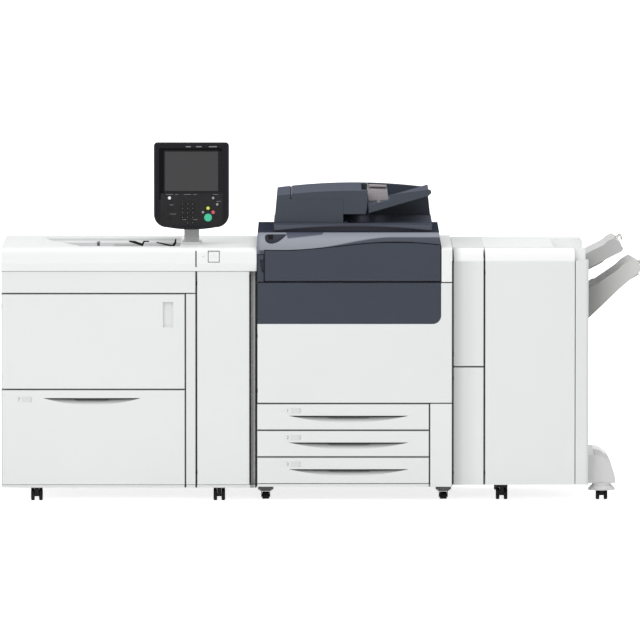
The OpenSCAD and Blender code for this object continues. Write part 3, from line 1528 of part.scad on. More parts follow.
// Booklet hood: a quarter-round tray whose feet cover the casters
hood_flat = 28;
hood_t = 8;
hood_front_in = 60;
hood_back_in = 143;
hood_lift = 3;
hood_end = 8;
hood_y0 = y_front + hood_front_in;
hood_y1 = finisher_back - hood_back_in;
outrigger_h = 18;
foot_r = 53;
foot_drop = 24;
cone_h = 18;
foot_rim = 5;
foot_well_r = 34;
foot_neck_r = 38;
foot_top_r = 41;
hood_shell = 6;
module booklet_hood() {
  z0 = floor_gap + hood_lift;
  oval_x = x_end + hood_flat;
  oval_w = booklet_w - hood_flat;
  top = floor_gap + booklet_h;
  outline = concat([[x_end, z0], [x_end, top]],
    oval_points(oval_x, z0, oval_w, top - z0, 90, hood_end, 9), [[x_end + booklet_w, z0]]);
  inner = concat([[x_end - cut, z0 + outrigger_h], [x_end - cut, top + cut], [oval_x, top + cut]],
    oval_points(oval_x, z0, oval_w - hood_shell, top - z0 - hood_shell, 90, 2 * hood_end, 9));
  color(pale) {
    difference() {
      front_shape(outline, hood_y0, hood_y1);
      front_shape(inner, hood_y0 + hood_t, hood_y1 - hood_t);
    }
    for (y = finisher_caster_y()) difference() {
      translate([x_end + booklet_w / 2, y, floor_gap - foot_drop]) rotate_extrude()
        polygon([[foot_well_r, 0], [foot_r, 0], [foot_r, foot_rim], [foot_top_r, cone_h],
          [foot_neck_r, cone_h], [foot_neck_r, foot_drop + hood_lift + embed],
          [foot_well_r, foot_drop + hood_lift + embed]]);
      block([x_end - foot_r, y - foot_r - cut, floor_gap - foot_drop - cut],
        [x_end, y + foot_r + cut, z0 + 2 * embed]);
    }
  }
}

// Casters

axle_r = axle_dia / 2;
axle_fit = 0.05;
wheel_r = wheel_dia / 2;
wheel_chamfer = 3;
plate_gap = 1;
plate_w = 46;
fork_r = 8;
hood_r = 19;
single_r = 14.5;
single_gap = 2;
fork_t = 3;
bracket_w = [47, 60];
bracket_h = [23, 18];
feeder_caster_in = 138;
relay_caster_in = 90;
engine_caster_in = 35;
finisher_caster_in = 70;
side_caster_y = 44;
engine_caster_y = 110;
finisher_front_y = 90;
function finisher_caster_y() = [y_front + finisher_front_y, finisher_back - 2 * finisher_front_y];

// Each caster: its X and Y, whether it has a single wheel, and its seat's height
casters = concat(
  [for (x = [x_feeder + feeder_caster_in, x_relay + relay_caster_in],
    y = [y_front + side_caster_y, feeder_back - side_caster_y]) [x, y, false, base_z]],
  [for (x = [x_engine + engine_caster_in, x_interface - engine_caster_in],
    y = [y_front + engine_caster_y, y_back - engine_caster_y]) [x, y, true, engine_z]],
  [for (x = [x_finisher + finisher_caster_in, x_end + booklet_w / 2], y = finisher_caster_y())
    [x, y, false, x > x_end ? floor_gap + hood_lift : floor_gap]]);

// Hood between twin wheels, under a block up to the bottom
module twin_fork(top) {
  low = wheel_dia + plate_gap;
  difference() {
    union() {
      rod_x(fork_r, -hood_w / 2, hood_w / 2, 0, wheel_r);
      block([-hood_w / 2, -hood_r, wheel_r], [hood_w / 2, hood_r, low + embed]);
      block([-plate_w / 2, -plate_w / 2, low], [plate_w / 2, plate_w / 2, top]);
    }
    rod_x(axle_r + axle_fit, -hood_w / 2 - cut, hood_w / 2 + cut, 0, wheel_r);
  }
}

// Fork with two cheeks round a single wheel, under the engine's bracket
module single_fork(top) {
  half = single_wheel_w / 2 + run_gap;
  bridge = 2 * single_r + single_gap;
  difference() {
    union() {
      for (x = [-half - fork_t, half]) {
        rod_x(fork_r, x, x + fork_t, 0, single_r);
        block([x, -fork_r, single_r], [x + fork_t, fork_r, bridge + embed]);
      }
      block([-half - fork_t, -fork_r, bridge], [half + fork_t, fork_r, top - bracket_h[0]]);
    }
    rod_x(axle_r + axle_fit, -half - fork_t - cut, half + fork_t + cut, 0, single_r);
  }
}

// Stepped bracket that carries a single caster
module caster_bracket(top) {
  for (i = [0, 1])
    block([-bracket_w[i] / 2, -bracket_w[i] / 2, top - bracket_h[i]],
      [bracket_w[i] / 2, bracket_w[i] / 2, top + embed]);
}

module caster_forks() {
  color(black) for (c = casters)
    translate([c[0], c[1], 0]) if (c[2]) single_fork(c[3]); else twin_fork(c[3]);
}

// A tyre with chamfered edges, from x0 along X
module tyre(x0, w, r) {
  rim_r = r - wheel_chamfer;
  translate([x0, 0, r]) rotate([0, 90, 0]) rotate_extrude() polygon([[0, 0], [rim_r, 0],
    [r, wheel_chamfer], [r, w - wheel_chamfer], [rim_r, w], [0, w]]);
}

module wheel(i) {
  c = casters[i - 1];
  half = hood_w / 2 + run_gap;
  single_half = single_wheel_w / 2 + run_gap + fork_t;
  color(black) translate([c[0], c[1], 0]) if (c[2]) {
    tyre(-single_wheel_w / 2, single_wheel_w, single_r);
    rod_x(axle_r, -single_half, single_half, 0, single_r);
  } else {
    tyre(-half - twin_wheel_w, twin_wheel_w, wheel_r);
    tyre(half, twin_wheel_w, wheel_r);
    rod_x(axle_r, -half - embed, half + embed, 0, wheel_r);
  }
}

feeder_cabinet();
feeder_band();
feeder_door();
feeder_drawer();
lift_plate();
worktop();
bypass_guide_front();
bypass_guide_rear();
relay_cabinet();
relay_door();
engine_frame();
engine_covers();
engine_rear_cover();
engine_inner_cover();
release_lever();
front_door();
front_door_panel();
left_trim();
toner_cover();
toner_bottles();
paper_tray(1);  // paper_tray_1
paper_tray(2);  // paper_tray_2
paper_tray(3);  // paper_tray_3
scanner_body();
platen_glass();
power_switch();
document_feeder();
document_feeder_cover();
document_tray();
document_guide_front();
document_guide_rear();
panel_post();
panel_housing();
touch_screen();
start_button();
stop_button();
clear_button();
keypad();
interface_cabinet();
interface_upper_door();
interface_lower_door();
finisher_cabinet();
finisher_top_cover();
finisher_door();
upper_tray();
stacker_tray();
booklet_hood();
caster_forks();
wheel(1);  // wheel_1
wheel(2);  // wheel_2
wheel(3);  // wheel_3
wheel(4);  // wheel_4
wheel(5);  // wheel_5
wheel(6);  // wheel_6
wheel(7);  // wheel_7
wheel(8);  // wheel_8
wheel(9);  // wheel_9
wheel(10);  // wheel_10
wheel(11);  // wheel_11
wheel(12);  // wheel_12
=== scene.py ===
import math
import bmesh
import bpy
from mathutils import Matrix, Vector


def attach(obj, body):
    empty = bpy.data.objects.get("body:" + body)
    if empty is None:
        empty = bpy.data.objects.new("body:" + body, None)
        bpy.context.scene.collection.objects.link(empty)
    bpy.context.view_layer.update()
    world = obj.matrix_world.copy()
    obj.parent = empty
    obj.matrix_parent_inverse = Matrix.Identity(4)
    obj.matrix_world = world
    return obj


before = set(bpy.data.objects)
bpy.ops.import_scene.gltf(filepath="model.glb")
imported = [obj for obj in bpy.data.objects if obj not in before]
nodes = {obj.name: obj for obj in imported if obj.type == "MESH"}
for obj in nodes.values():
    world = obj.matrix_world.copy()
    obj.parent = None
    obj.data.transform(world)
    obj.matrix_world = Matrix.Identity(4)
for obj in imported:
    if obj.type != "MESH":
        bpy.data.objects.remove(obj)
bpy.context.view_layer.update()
MM = 0.001


# Places that follow the frame, in millimetres

class Box:
    """The room that a node takes at rest."""

    def __init__(self, name):
        xs, ys, zs = ([value / MM for value in axis] for axis in zip(*nodes[name].bound_box))
        self.left, self.right = min(xs), max(xs)
        self.face, self.back = min(ys), max(ys)
        self.low, self.high = min(zs), max(zs)
        self.middle = (self.left + self.right) / 2


# Half of the gap between two fronts
HALF_SEAM = 1.5
worktop = Box("worktop")
relay = Box("relay_cabinet")
engine = Box("engine_frame")
engine_door = Box("front_door")
top_tray = Box("paper_tray_1")
interface = Box("interface_cabinet")
interface_door = Box("interface_upper_door")
finisher = Box("finisher_cabinet")
scanner = Box("scanner_body")
panel = Box("panel_housing")
screen_pane = Box("touch_screen")
# Fronts of the engine's covers and of the feeder's doors
Y_FRONT = engine_door.face
Y_FACE = Box("feeder_door").face
# Face of the control panel, behind its rim
PANEL_FACE = panel.face + 2.0
# Upright split lines between fronts and cabinets
SPLITS = (Box("feeder_door").right + HALF_SEAM, relay.left, engine.left, top_tray.right + HALF_SEAM,
          interface.left, finisher.left)
# Drawer fronts: width of the handle scoop, its lip below the split line, its shift from the middle
SCOOPS = {"feeder_drawer": (384.0, 34.0, -5.0)}
TRAYS = ["paper_tray_%d" % i for i in (1, 2, 3)]
for name in TRAYS:
    SCOOPS[name] = (473.0, 48.0, 22.0)


# Camera: straight from the front and a little from above, with a very long lens
def make_camera():
    distance = 40.0
    view_width = 2.496
    aim = Vector((-15.5 * MM, Y_FRONT * MM, 709.8 * MM))
    tilt = math.radians(4.15)
    back = Vector((0.0, -math.cos(tilt), math.sin(tilt)))
    data = bpy.data.cameras.new("camera")
    camera = bpy.data.objects.new("camera", data)
    bpy.context.scene.collection.objects.link(camera)
    camera.location = aim + back * distance
    camera.rotation_mode = "QUATERNION"
    camera.rotation_quaternion = (-back).to_track_quat("-Z", "Y")
    data.sensor_width = 36.0
    data.lens = data.sensor_width * distance / view_width
    data.clip_start = 1.0
    data.clip_end = 400.0
    bpy.context.scene.camera = camera


make_camera()


# Colours, from screen values of 0 to 255

def linear(value):
    value = value / 255.0
    if value <= 0.04045:
        return value / 12.92
    return ((value + 0.055) / 1.055) ** 2.4


def colour(red, green, blue):
    return (linear(red), linear(green), linear(blue), 1.0)


def shade(c, factor):
    return (min(c[0] * factor, 1.0), min(c[1] * factor, 1.0), min(c[2] * factor, 1.0), 1.0)


WHITE = (1.0, 1.0, 1.0, 1.0)
SHADOW = colour(30, 30, 30)
# Painted shade beside the seams and painted shadow inside them
SEAM_EDGE_SHADE = colour(118, 119, 120)
DARK_SEAM_EDGE_SHADE = colour(30, 32, 40)
SEAM_SHADOW = colour(12, 12, 13)


# Materials

class Tree:
    """A material's node tree with short calls for its nodes. x, y and z are places in metres, and up
    is how far the surface looks up."""

    def __init__(self, name):
        self.material = bpy.data.materials.new(name)
        self.material.use_nodes = True
        self.tree = self.material.node_tree
        self.tree.nodes.clear()
        self.output = self.add("ShaderNodeOutputMaterial")
        texture = self.add("ShaderNodeTexCoord")
        self.coords = texture.outputs["Object"]
        self.x, self.y, self.z = self.split(self.coords)
        self.up = self.split(texture.outputs["Normal"])[2]

    def add(self, kind, **values):
        node = self.tree.nodes.new(kind)
        for key, value in values.items():
            setattr(node, key, value)
        return node

    def put(self, value, socket):
        """Link an output to a socket, or set the socket to a constant."""
        if isinstance(value, bpy.types.NodeSocket):
            self.tree.links.new(value, socket)
        else:
            socket.default_value = value

    def split(self, vector):
        node = self.add("ShaderNodeSeparateXYZ")
        self.put(vector, node.inputs["Vector"])
        return tuple(node.outputs)

    def math(self, operation, first, second):
        node = self.add("ShaderNodeMath", operation=operation)
        self.put(first, node.inputs[0])
        self.put(second, node.inputs[1])
        return node.outputs["Value"]

    def times(self, first, *others):
        for other in others:
            first = self.math("MULTIPLY", first, other)
        return first

    def dot(self, first, second):
        node = self.add("ShaderNodeVectorMath", operation="DOT_PRODUCT")
        self.put(first, node.inputs[0])
        self.put(second, node.inputs[1])
        return node.outputs["Value"]

    def spread(self, source, low, high, start=0.3, end=0.7, **values):
        """Values from start to end become values from low to high."""
        node = self.add("ShaderNodeMapRange", **values)
        node.inputs["From Min"].default_value = start
        node.inputs["From Max"].default_value = end
        node.inputs["To Min"].default_value = low
        node.inputs["To Max"].default_value = high
        self.put(source, node.inputs["Value"])
        return node.outputs["Result"]

    def ramp(self, axis, start, end):
        """0 to 1 along one axis, between two places in millimetres."""
        return self.spread(axis, 0.0, 1.0, start * MM, end * MM)

    def within(self, axis, low, high, soft=0.5):
        """1 between two places along one axis, 0 outside."""
        return self.times(self.ramp(axis, low - soft, low + soft), self.ramp(axis, high + soft, high - soft))

    def noise(self, scale, detail=2.0, stretch=None):
        node = self.add("ShaderNodeTexNoise")
        node.inputs["Scale"].default_value = scale
        node.inputs["Detail"].default_value = detail
        source = self.coords
        if stretch:
            mapping = self.add("ShaderNodeMapping")
            mapping.inputs["Scale"].default_value = stretch
            self.put(self.coords, mapping.inputs["Vector"])
            source = mapping.outputs["Vector"]
        self.put(source, node.inputs["Vector"])
        return node.outputs["Fac"]

    def mix(self, factor, first, second):
        node = self.add("ShaderNodeMix", data_type="RGBA")
        self.put(factor, node.inputs["Factor"])
        self.put(first, node.inputs["A"])
        self.put(second, node.inputs["B"])
        return node.outputs["Result"]

    def rounded(self, radius):
        node = self.add("ShaderNodeBevel", samples=4)
        node.inputs["Radius"].default_value = radius * MM
        return node.outputs["Normal"]

    def edges(self, normal, start=0.75, end=0.98):
        """1 on edges and corners, 0 on flats."""
        geometry = self.add("ShaderNodeNewGeometry")
        return self.spread(self.dot(normal, geometry.outputs["Normal"]), 1.0, 0.0, start, end)

    def bump(self, height, strength, distance, normal=None):
        node = self.add("ShaderNodeBump")
        node.inputs["Strength"].default_value = strength
        node.inputs["Distance"].default_value = distance * MM
        self.put(height, node.inputs["Height"])
        if normal is not None:
            self.put(normal, node.inputs["Normal"])
        return node.outputs["Normal"]

    def surface(self, **sockets):
        """Main shader with values or outputs for its sockets; ends the tree."""
        shader = self.add("ShaderNodeBsdfPrincipled")
        for key, value in sockets.items():
            self.put(value, shader.inputs[SOCKETS[key]])
        self.put(shader.outputs["BSDF"], self.output.inputs["Surface"])
        return self.material


SOCKETS = {"body": "Base Color", "rough": "Roughness", "normal": "Normal", "specular": "Specular IOR Level",
           "coat": "Coat Weight", "coat_rough": "Coat Roughness", "glow": "Emission Strength",
           "glow_tone": "Emission Color", "metal": "Metallic", "clear": "Transmission Weight", "ior": "IOR"}


def moulded(name, base, rough=0.5, grain=900.0, bump=0.12, tone=0.03, wear=1.12, radius=1.5,
            specular=0.4, coat=0.0, calm=0.3, paints=(), glow=None):
    """Moulded or painted surface: fine grain, a slow change of tone, brighter worn edges. On faces that
    look up the sheen drops to the share calm. paints add what only one piece has, and glow gives
    the strength of painted light, a glow the surface sends out though it is no lamp."""
    t = Tree(name)
    normal = t.rounded(radius)
    clouds = t.spread(t.noise(2.3, 3.0), 0.0, 1.0)
    body = t.mix(clouds, shade(base, 1.0 - tone), shade(base, 1.0 + tone))
    specks = t.spread(t.noise(grain * 0.6, 2.0), 0.0, 0.35, 0.45, 0.75)
    body = t.mix(specks, body, shade(base, 1.0 - 2.0 * tone))
    body = t.mix(t.edges(normal), body, shade(base, wear))
    for paint in paints:
        body = paint(t, body)
    extras = {}
    if glow:
        extras.update(glow=glow(t), glow_tone=base)
    if coat:
        extras.update(coat=t.spread(t.up, coat, 0.0, 0.5, 0.95), coat_rough=0.12)
    return t.surface(body=body, rough=t.spread(t.noise(34.0, 3.0), rough - 0.05, rough + 0.05),
                     normal=t.bump(t.noise(grain, 3.0), bump, 0.15, normal),
                     specular=t.spread(t.up, specular, specular * calm, 0.5, 0.95), **extras)


def brushed(name, base, rough=0.35):
    """Brushed plate: long fine lines along X."""
    t = Tree(name)
    lines = t.noise(60.0, 4.0, (1.0, 60.0, 60.0))
    return t.surface(body=t.mix(t.spread(lines, 0.0, 1.0), shade(base, 0.9), shade(base, 1.08)),
                     rough=t.spread(lines, rough - 0.08, rough + 0.1),
                     normal=t.bump(lines, 0.2, 0.05, t.rounded(0.6)), metal=1.0)


def clear(name, base, rough, weight):
    """Clear or milky plastic and glass."""
    t = Tree(name)
    tone = t.spread(t.noise(14.0, 2.0), 0.0, 1.0)
    return t.surface(body=t.mix(tone, shade(base, 0.96), base),
                     rough=t.spread(t.noise(220.0, 2.0), rough * 0.8, rough * 1.2),
                     normal=t.bump(t.noise(500.0, 2.0), 0.05, 0.05), clear=weight, ior=1.45)


def rubbery(name, base, rough=0.75):
    """Rubber with a dusty, slightly mottled surface."""
    t = Tree(name)
    dust = t.spread(t.noise(45.0, 5.0), 0.0, 0.5, 0.45, 0.8)
    return t.surface(body=t.mix(dust, base, shade(base, 2.2)),
                     rough=t.spread(t.noise(160.0, 3.0), rough - 0.08, rough + 0.08),
                     normal=t.bump(t.noise(700.0, 3.0), 0.25, 0.2, t.rounded(0.8)), specular=0.25)


# What only one piece has

def edged(name, sides="left right low high", near=SEAM_EDGE_SHADE):
    """Edges of a front: painted shade where the face rolls over, and painted shadow, nearly black, inside the
    seam.
    """
    front = Box(name)
    width, soft, reach = 1.9, 0.8, 10.0
    lines = {"left": ("x", front.left, reach), "right": ("x", front.right, -reach),
             "low": ("z", front.low, reach), "high": ("z", front.high, -reach)}

    def paint(t, body):
        inside = None
        for side in sides.split():
            axis, edge, inwards = lines[side]
            near_edge = t.ramp(getattr(t, axis), edge, edge + inwards)
            inside = t.math("MINIMUM", inside, near_edge) if inside else near_edge
        rim = t.times(t.spread(inside, 1.0, 0.0, (width - soft) / reach, (width + soft) / reach),
                      t.ramp(t.y, front.face + 15.0, front.face + 5.0))
        body = t.mix(rim, body, near)
        return t.mix(t.times(rim, t.ramp(t.y, front.face + 1.0, front.face + 2.0)), body, SEAM_SHADOW)
    return paint


def split_lines(t, body):
    """Cabinet edges behind and beside the upright seams: painted shade, and painted shadow further back."""
    half_width, depth = 3.4, 60.0
    front = t.times(t.ramp(t.y, Y_FRONT + depth + 0.5, Y_FRONT + depth - 0.5),
                    t.ramp(t.z, finisher.high, finisher.high - 1.0))
    inner = t.ramp(t.y, Y_FACE + 1.0, Y_FACE + 2.0)
    for x in SPLITS:
        line = t.times(t.within(t.x, x - half_width, x + half_width), front)
        body = t.mix(line, body, SEAM_EDGE_SHADE)
        body = t.mix(t.times(line, inner), body, SEAM_SHADOW)
    return body


def scooped(name):
    """A handle scoop with painted shade: a dark line under its lip, a soft shade below that, and the latch
    painted in shadow colour.
    """
    front = Box(name)
    width, lip_drop, shift = SCOOPS[name]
    lip = front.high + HALF_SEAM - lip_drop
    middle = front.middle + shift
    scoop_h, latch_h, depth = 29.0, 7.5, 30.0

    def paint(t, body):
        rear = t.ramp(t.y, front.face + depth + 0.5, front.face + depth)
        deep = t.times(t.within(t.x, middle - width / 2, middle + width / 2),
                       t.within(t.z, lip - scoop_h, lip + 0.5),
                       t.ramp(t.y, front.face + 0.2, front.face + 1.2), rear)
        body = t.mix(t.times(deep, t.ramp(t.z, lip - 25.0, lip - 3.0)), body, colour(128, 129, 129))
        body = t.mix(t.times(deep, t.ramp(t.z, lip - 7.0, lip - 2.5)), body, colour(52, 52, 52))
        latch = t.times(t.within(t.x, middle - width / 6, middle + width / 6),
                        t.within(t.z, lip - latch_h, lip + 0.5),
                        t.ramp(t.y, front.face + 2.0, front.face + 3.0), rear)
        return t.mix(latch, body, SHADOW)
    return paint


def crest(t):
    """Where the tall fronts roll back, near the top of the finisher's column."""
    return t.ramp(t.z, finisher.high - 5.0, finisher.high + 3.0)


def side_lit(t, body):
    """Narrow doors with painted shade towards their left and a painted highlight on the crest."""
    left = interface_door.left
    body = t.mix(t.ramp(t.x, left + 96.5, left + 41.5), body, shade(BODY_WHITE, 0.86))
    body = t.mix(t.ramp(t.x, left + 41.5, left - 0.5), body, shade(BODY_WHITE, 0.52))
    return t.mix(t.times(crest(t), t.ramp(t.x, left + 1.5, left + 36.5)), body, colour(246, 246, 246))


def crested(t, body):
    """A painted highlight that makes the crest brighter."""
    return t.mix(crest(t), body, colour(248, 248, 248))


def grip_strip(t, body):
    """Grey strip between relay door and engine, painted as the shade of its recess: a painted highlight band,
    painted shade at its left end and painted shadow in the seam at its right end.
    """
    left = Box("relay_door").right + HALF_SEAM
    right = relay.right
    front = t.times(t.ramp(t.y, Y_FRONT + 55.5, Y_FRONT + 53.5), t.ramp(t.x, left, left + 1.0))
    body = t.mix(front, body, colour(146, 146, 147))
    body = t.mix(t.times(front, t.within(t.x, right - 12.0, right - 6.0, 2.0)), body, colour(184, 184, 184))
    body = t.mix(t.times(front, t.ramp(t.x, left + 5.0, left)), body, colour(70, 70, 71))
    return t.mix(t.times(front, t.ramp(t.x, right - 6.5, right - 5.0)), body, SEAM_SHADOW)


def shaded_end(t, body):
    """The finisher's column is darker along its right edge."""
    end = t.times(t.ramp(t.x, finisher.right - 12.0, finisher.right - 1.0),
                  t.ramp(t.y, Y_FRONT + 93.5, Y_FRONT + 63.5))
    return t.mix(end, body, colour(204, 205, 205))


def dark_lid(t, body):
    """Front of the lid: a lighter band over the arched finger gap, which lies in shade."""
    half_width, arch_top, arch_end, lid_top = 310.0, 1075.0, 1055.0, 1080.0
    aside = t.math("SUBTRACT", t.x, Box("document_feeder").middle * MM)
    arch = t.spread(t.times(aside, aside), arch_top * MM, arch_end * MM, 0.0, (half_width * MM) ** 2,
                    clamp=False)
    below = t.ramp(t.math("SUBTRACT", arch, t.z), -1.0, 1.0)
    front = t.times(t.ramp(t.z, lid_top + 1.0, lid_top), t.ramp(t.y, Y_FRONT + 193.5, Y_FRONT + 183.5))
    body = t.mix(front, body, colour(74, 79, 92))
    return t.mix(t.times(front, below), body, colour(44, 46, 60))


def lit_crown(t, body):
    """Faces that look up carry the light of the room."""
    return t.mix(t.spread(t.up, 0.0, 1.0, 0.15, 0.5), body, colour(92, 96, 108))


def long_sheen(t, body):
    """Broad painted reflection on the fascia, a sheen: full height at the left, a thin band along the top at
    the right.
    """
    low = t.spread(t.x, 983.0 * MM, 1032.5 * MM, -120.0 * MM, 270.0 * MM, interpolation_type="SMOOTHSTEP")
    # Upper end: open as far as the pocket reaches, a slope beside it, open again further right
    high = t.spread(t.x, 1026.8 * MM, 1041.0 * MM, -141.0 * MM, -8.0 * MM)
    for rise_from, rise_to, start, end in ((34.0, 0.0, -152.0, -141.0), (0.0, 14.0, -8.0, 6.0)):
        high = t.math("ADD", high, t.spread(t.x, rise_from * MM, rise_to * MM, start * MM, end * MM))
    over = t.ramp(t.math("SUBTRACT", t.z, low), -3.0, 3.0)
    under = t.ramp(t.math("SUBTRACT", high, t.z), -2.5, 2.5)
    front = t.ramp(t.y, Y_FRONT + 65.5, Y_FRONT + 62.5)
    body = t.mix(t.times(front, over), body, colour(86, 90, 105))
    body = t.mix(t.times(over, under, front), body, colour(142, 146, 156))
    end = t.times(front, t.ramp(t.x, scanner.left + 17.0, scanner.left + 1.0))
    return t.mix(end, body, colour(112, 116, 128))


def switch_pocket(t, body):
    """The almond pocket round the power switch lies in shade."""
    left, right, low, high = scanner.left + 32.0, scanner.left + 118.0, 1005.0, 1043.0
    flat = t.spread(t.up, 1.0, 0.0, 0.05, 0.15)
    pocket = t.times(t.within(t.x, left, right), t.within(t.z, low, high),
                     t.ramp(t.y, Y_FRONT + 1.5, Y_FRONT + 2.5), flat)
    return t.mix(pocket, body, colour(46, 48, 64))


def pale_foot(t, body):
    """Foot of the panel's post, up to 12 mm above the worktop."""
    return t.mix(t.ramp(t.z, worktop.high + 12.0, worktop.high + 9.0), body, colour(206, 206, 206))


def recessed(t, body):
    """Painted shade: the rear wall of the bypass recess in bands of shade with a darker patch, and the groove
    between feeder and relay darkened.
    """
    left, right, rear, top = worktop.left + 136.0, relay.left - 63.0, worktop.back - 92.0, worktop.high
    wall = t.times(t.ramp(t.y, rear - 1.5, rear - 0.5), t.ramp(t.y, rear + 2.5, rear + 1.5),
                   t.within(t.x, left, right), t.ramp(t.z, top - 0.5, top - 1.5))
    for start, end, tone in ((5.0, 8.0, colour(212, 213, 213)), (14.0, 17.0, colour(234, 235, 235)),
                             (22.0, 25.0, colour(204, 205, 206))):
        body = t.mix(t.times(wall, t.ramp(t.z, top - start, top - end)), body, tone)
    patch = t.times(wall, t.ramp(t.z, top - 27.0, top - 31.0), t.ramp(t.x, left + 286.0, left + 299.0),
                    t.ramp(t.x, right - 150.0, right - 173.0))
    body = t.mix(patch, body, colour(174, 175, 176))
    groove = t.times(t.within(t.x, relay.left - 2.6, relay.left + 2.6),
                     t.ramp(t.y, Y_FRONT + 5.5, Y_FRONT + 4.0), t.ramp(t.z, top - 11.0, top - 13.0))
    return t.mix(groove, body, colour(52, 53, 54))


def calm_column(t, body):
    """The fixed column beside the trays is a little greyer than the covers above it."""
    split = engine_door.low - HALF_SEAM
    return t.mix(t.ramp(t.z, split + 1.9, split - 0.1), body, colour(232, 234, 233))


def pale_tray(near_low, near_high, far):
    """An output tray: its near cheek brightens towards the tip, and its far one, which lies in the finisher's
    shade, is painted bright as painted light to make up for that shade.
    """
    def paint(t, body):
        body = t.mix(t.ramp(t.x, finisher.right + 13.0, finisher.right + 183.0), near_low, near_high)
        return t.mix(t.ramp(t.y, -40.0, 40.0), body, far)
    return paint


def dark_underside(t, body):
    """Painted shade: a dark strip along the lower edge of the upper tray, from the column to the bend."""
    root_x, root_z, bend_x, bend_z = 1035.0, 900.0, 1091.6, 929.0
    slope = (bend_z - root_z) / (bend_x - root_x)
    line = root_z - slope * root_x
    over = t.dot(t.coords, (-slope, 0.0, 1.0))
    strip = t.times(t.ramp(over, line + 4.2, line + 3.2), t.ramp(t.x, bend_x - 1.6, bend_x - 5.6))
    return t.mix(strip, body, colour(46, 46, 50))


def hood_inside(t):
    """Painted light: the far wall of the open hood glows a little, in place of light from above."""
    return t.spread(t.times(t.ramp(t.y, -70.0, -30.0), t.ramp(t.x, 1112.0, 1106.0)), 0.0, 0.4)


def framed_panel(t, body):
    """Control panel: a lighter rim painted as a highlight on the rounded edges that follow its outline, and
    black painted shade in bands beside the screen.
    """
    left, right = panel.middle - 127.0, panel.middle + 121.0
    low, high = panel.low + 118.0, panel.low + 320.0
    bands = t.math("MAXIMUM",
                   t.times(t.within(t.x, left, left + 21.0), t.within(t.z, low, high)),
                   t.times(t.within(t.x, left, right), t.within(t.z, high - 13.0, high)))
    body = t.mix(t.edges(t.rounded(6.0), 0.80, 0.995), body, colour(58, 60, 66))
    return t.mix(t.times(t.ramp(t.y, panel.face + 9.0, panel.face + 8.0), bands), body, colour(13, 13, 17))


# Looks that several pieces share

BODY_WHITE = colour(229, 232, 231)
WHITE_LOOK = dict(base=BODY_WHITE, rough=0.5, bump=0.10, tone=0.012, wear=1.1)
SHELL_LOOK = dict(base=colour(228, 229, 229), rough=0.55, bump=0.16, tone=0.015, wear=1.08)
BRIGHT_LOOK = dict(base=colour(240, 241, 241), rough=0.46, bump=0.08, tone=0.01, wear=1.06)
SLATE_LOOK = dict(base=colour(54, 60, 72), rough=0.5, grain=1100.0, bump=0.16, tone=0.05, wear=1.5,
                  specular=0.3)
FEEDER_LOOK = dict(base=colour(54, 61, 72), rough=0.42, grain=1000.0, bump=0.1, tone=0.05, wear=1.5,
                   specular=0.35, calm=0.0)
TRAY_LOOK = dict(rough=0.5, grain=800.0, bump=0.18, tone=0.05)
BUTTON_LOOK = dict(rough=0.3, bump=0.03, tone=0.03, radius=0.8)
PRINT_LOOK = dict(bump=0.05, wear=1.0, radius=0.1)

BRIGHT = moulded("bright_cover", **BRIGHT_LOOK)
SIDE = moulded("cabinet_shell", paints=(split_lines,), **SHELL_LOOK)
HOOD = moulded("hood_shell", colour(214, 214, 214), 0.55, bump=0.16, tone=0.015, wear=1.08, glow=hood_inside)
GLOSS = moulded("glossy_slate", colour(58, 63, 76), 0.4, grain=500.0, bump=0.02, tone=0.04, wear=1.3,
                radius=2.0, specular=0.35, coat=0.12, calm=0.0, paints=(long_sheen, switch_pocket))
FRAME = moulded("frame_plate", colour(112, 113, 114), 0.6, bump=0.2, tone=0.05, wear=1.3,
                paints=(split_lines,))
INNER = moulded("inner_cover", colour(60, 62, 66), 0.6, bump=0.2, tone=0.06, wear=1.4)
PANEL = moulded("panel_shell", colour(34, 34, 37), 0.55, grain=1200.0, bump=0.14, tone=0.06, wear=1.4,
                radius=1.8, specular=0.06, paints=(framed_panel,))
SCREEN = moulded("screen_glass", colour(44, 44, 46), 0.18, grain=300.0, bump=0.01, tone=0.05, wear=1.2,
                 specular=0.25, coat=0.3)
KEYMAT = rubbery("key_mat", colour(24, 24, 26), 0.6)
BLACK = moulded("black_plastic", colour(10, 10, 11), 0.45, bump=0.12, tone=0.1, wear=1.6, specular=0.2)
POST = moulded("grey_post", colour(200, 200, 200), 0.5, bump=0.12, tone=0.03, wear=1.1, paints=(pale_foot,))
GUIDE = moulded("guide_plastic", colour(176, 171, 174), 0.4, bump=0.06, tone=0.04, wear=1.15)
HIGH_CHEEKS = pale_tray(colour(168, 168, 166), colour(196, 194, 196), colour(226, 226, 226))
LOW_CHEEKS = pale_tray(colour(146, 146, 144), colour(206, 207, 205), colour(238, 238, 238))
TRAY = moulded("tray_plastic", colour(176, 174, 170), wear=1.15, paints=(HIGH_CHEEKS, dark_underside),
               **TRAY_LOOK)
LOW_TRAY = moulded("low_tray_plastic", colour(134, 134, 131), wear=1.2, paints=(LOW_CHEEKS,), **TRAY_LOOK)
GREEN = moulded("green_button", colour(70, 196, 155), wear=1.15, **BUTTON_LOOK)
RED = moulded("red_button", colour(212, 90, 112), wear=1.15, **BUTTON_LOOK)
YELLOW = moulded("yellow_button", colour(226, 230, 86), wear=1.1, **BUTTON_LOOK)
LEVER = moulded("green_lever", colour(40, 140, 78), 0.4, bump=0.08, tone=0.04, wear=1.3)
TYRE = rubbery("tyre_rubber", colour(7, 7, 8))
PLATE = brushed("lift_plate_metal", colour(196, 198, 200))
GLASS = clear("platen_glass", colour(214, 232, 236), 0.03, 1.0)
MILKY = clear("milky_plastic", colour(238, 238, 232), 0.35, 0.75)
INK = moulded("printed_mark", colour(96, 98, 100), 0.6, tone=0.05, **PRINT_LOOK)
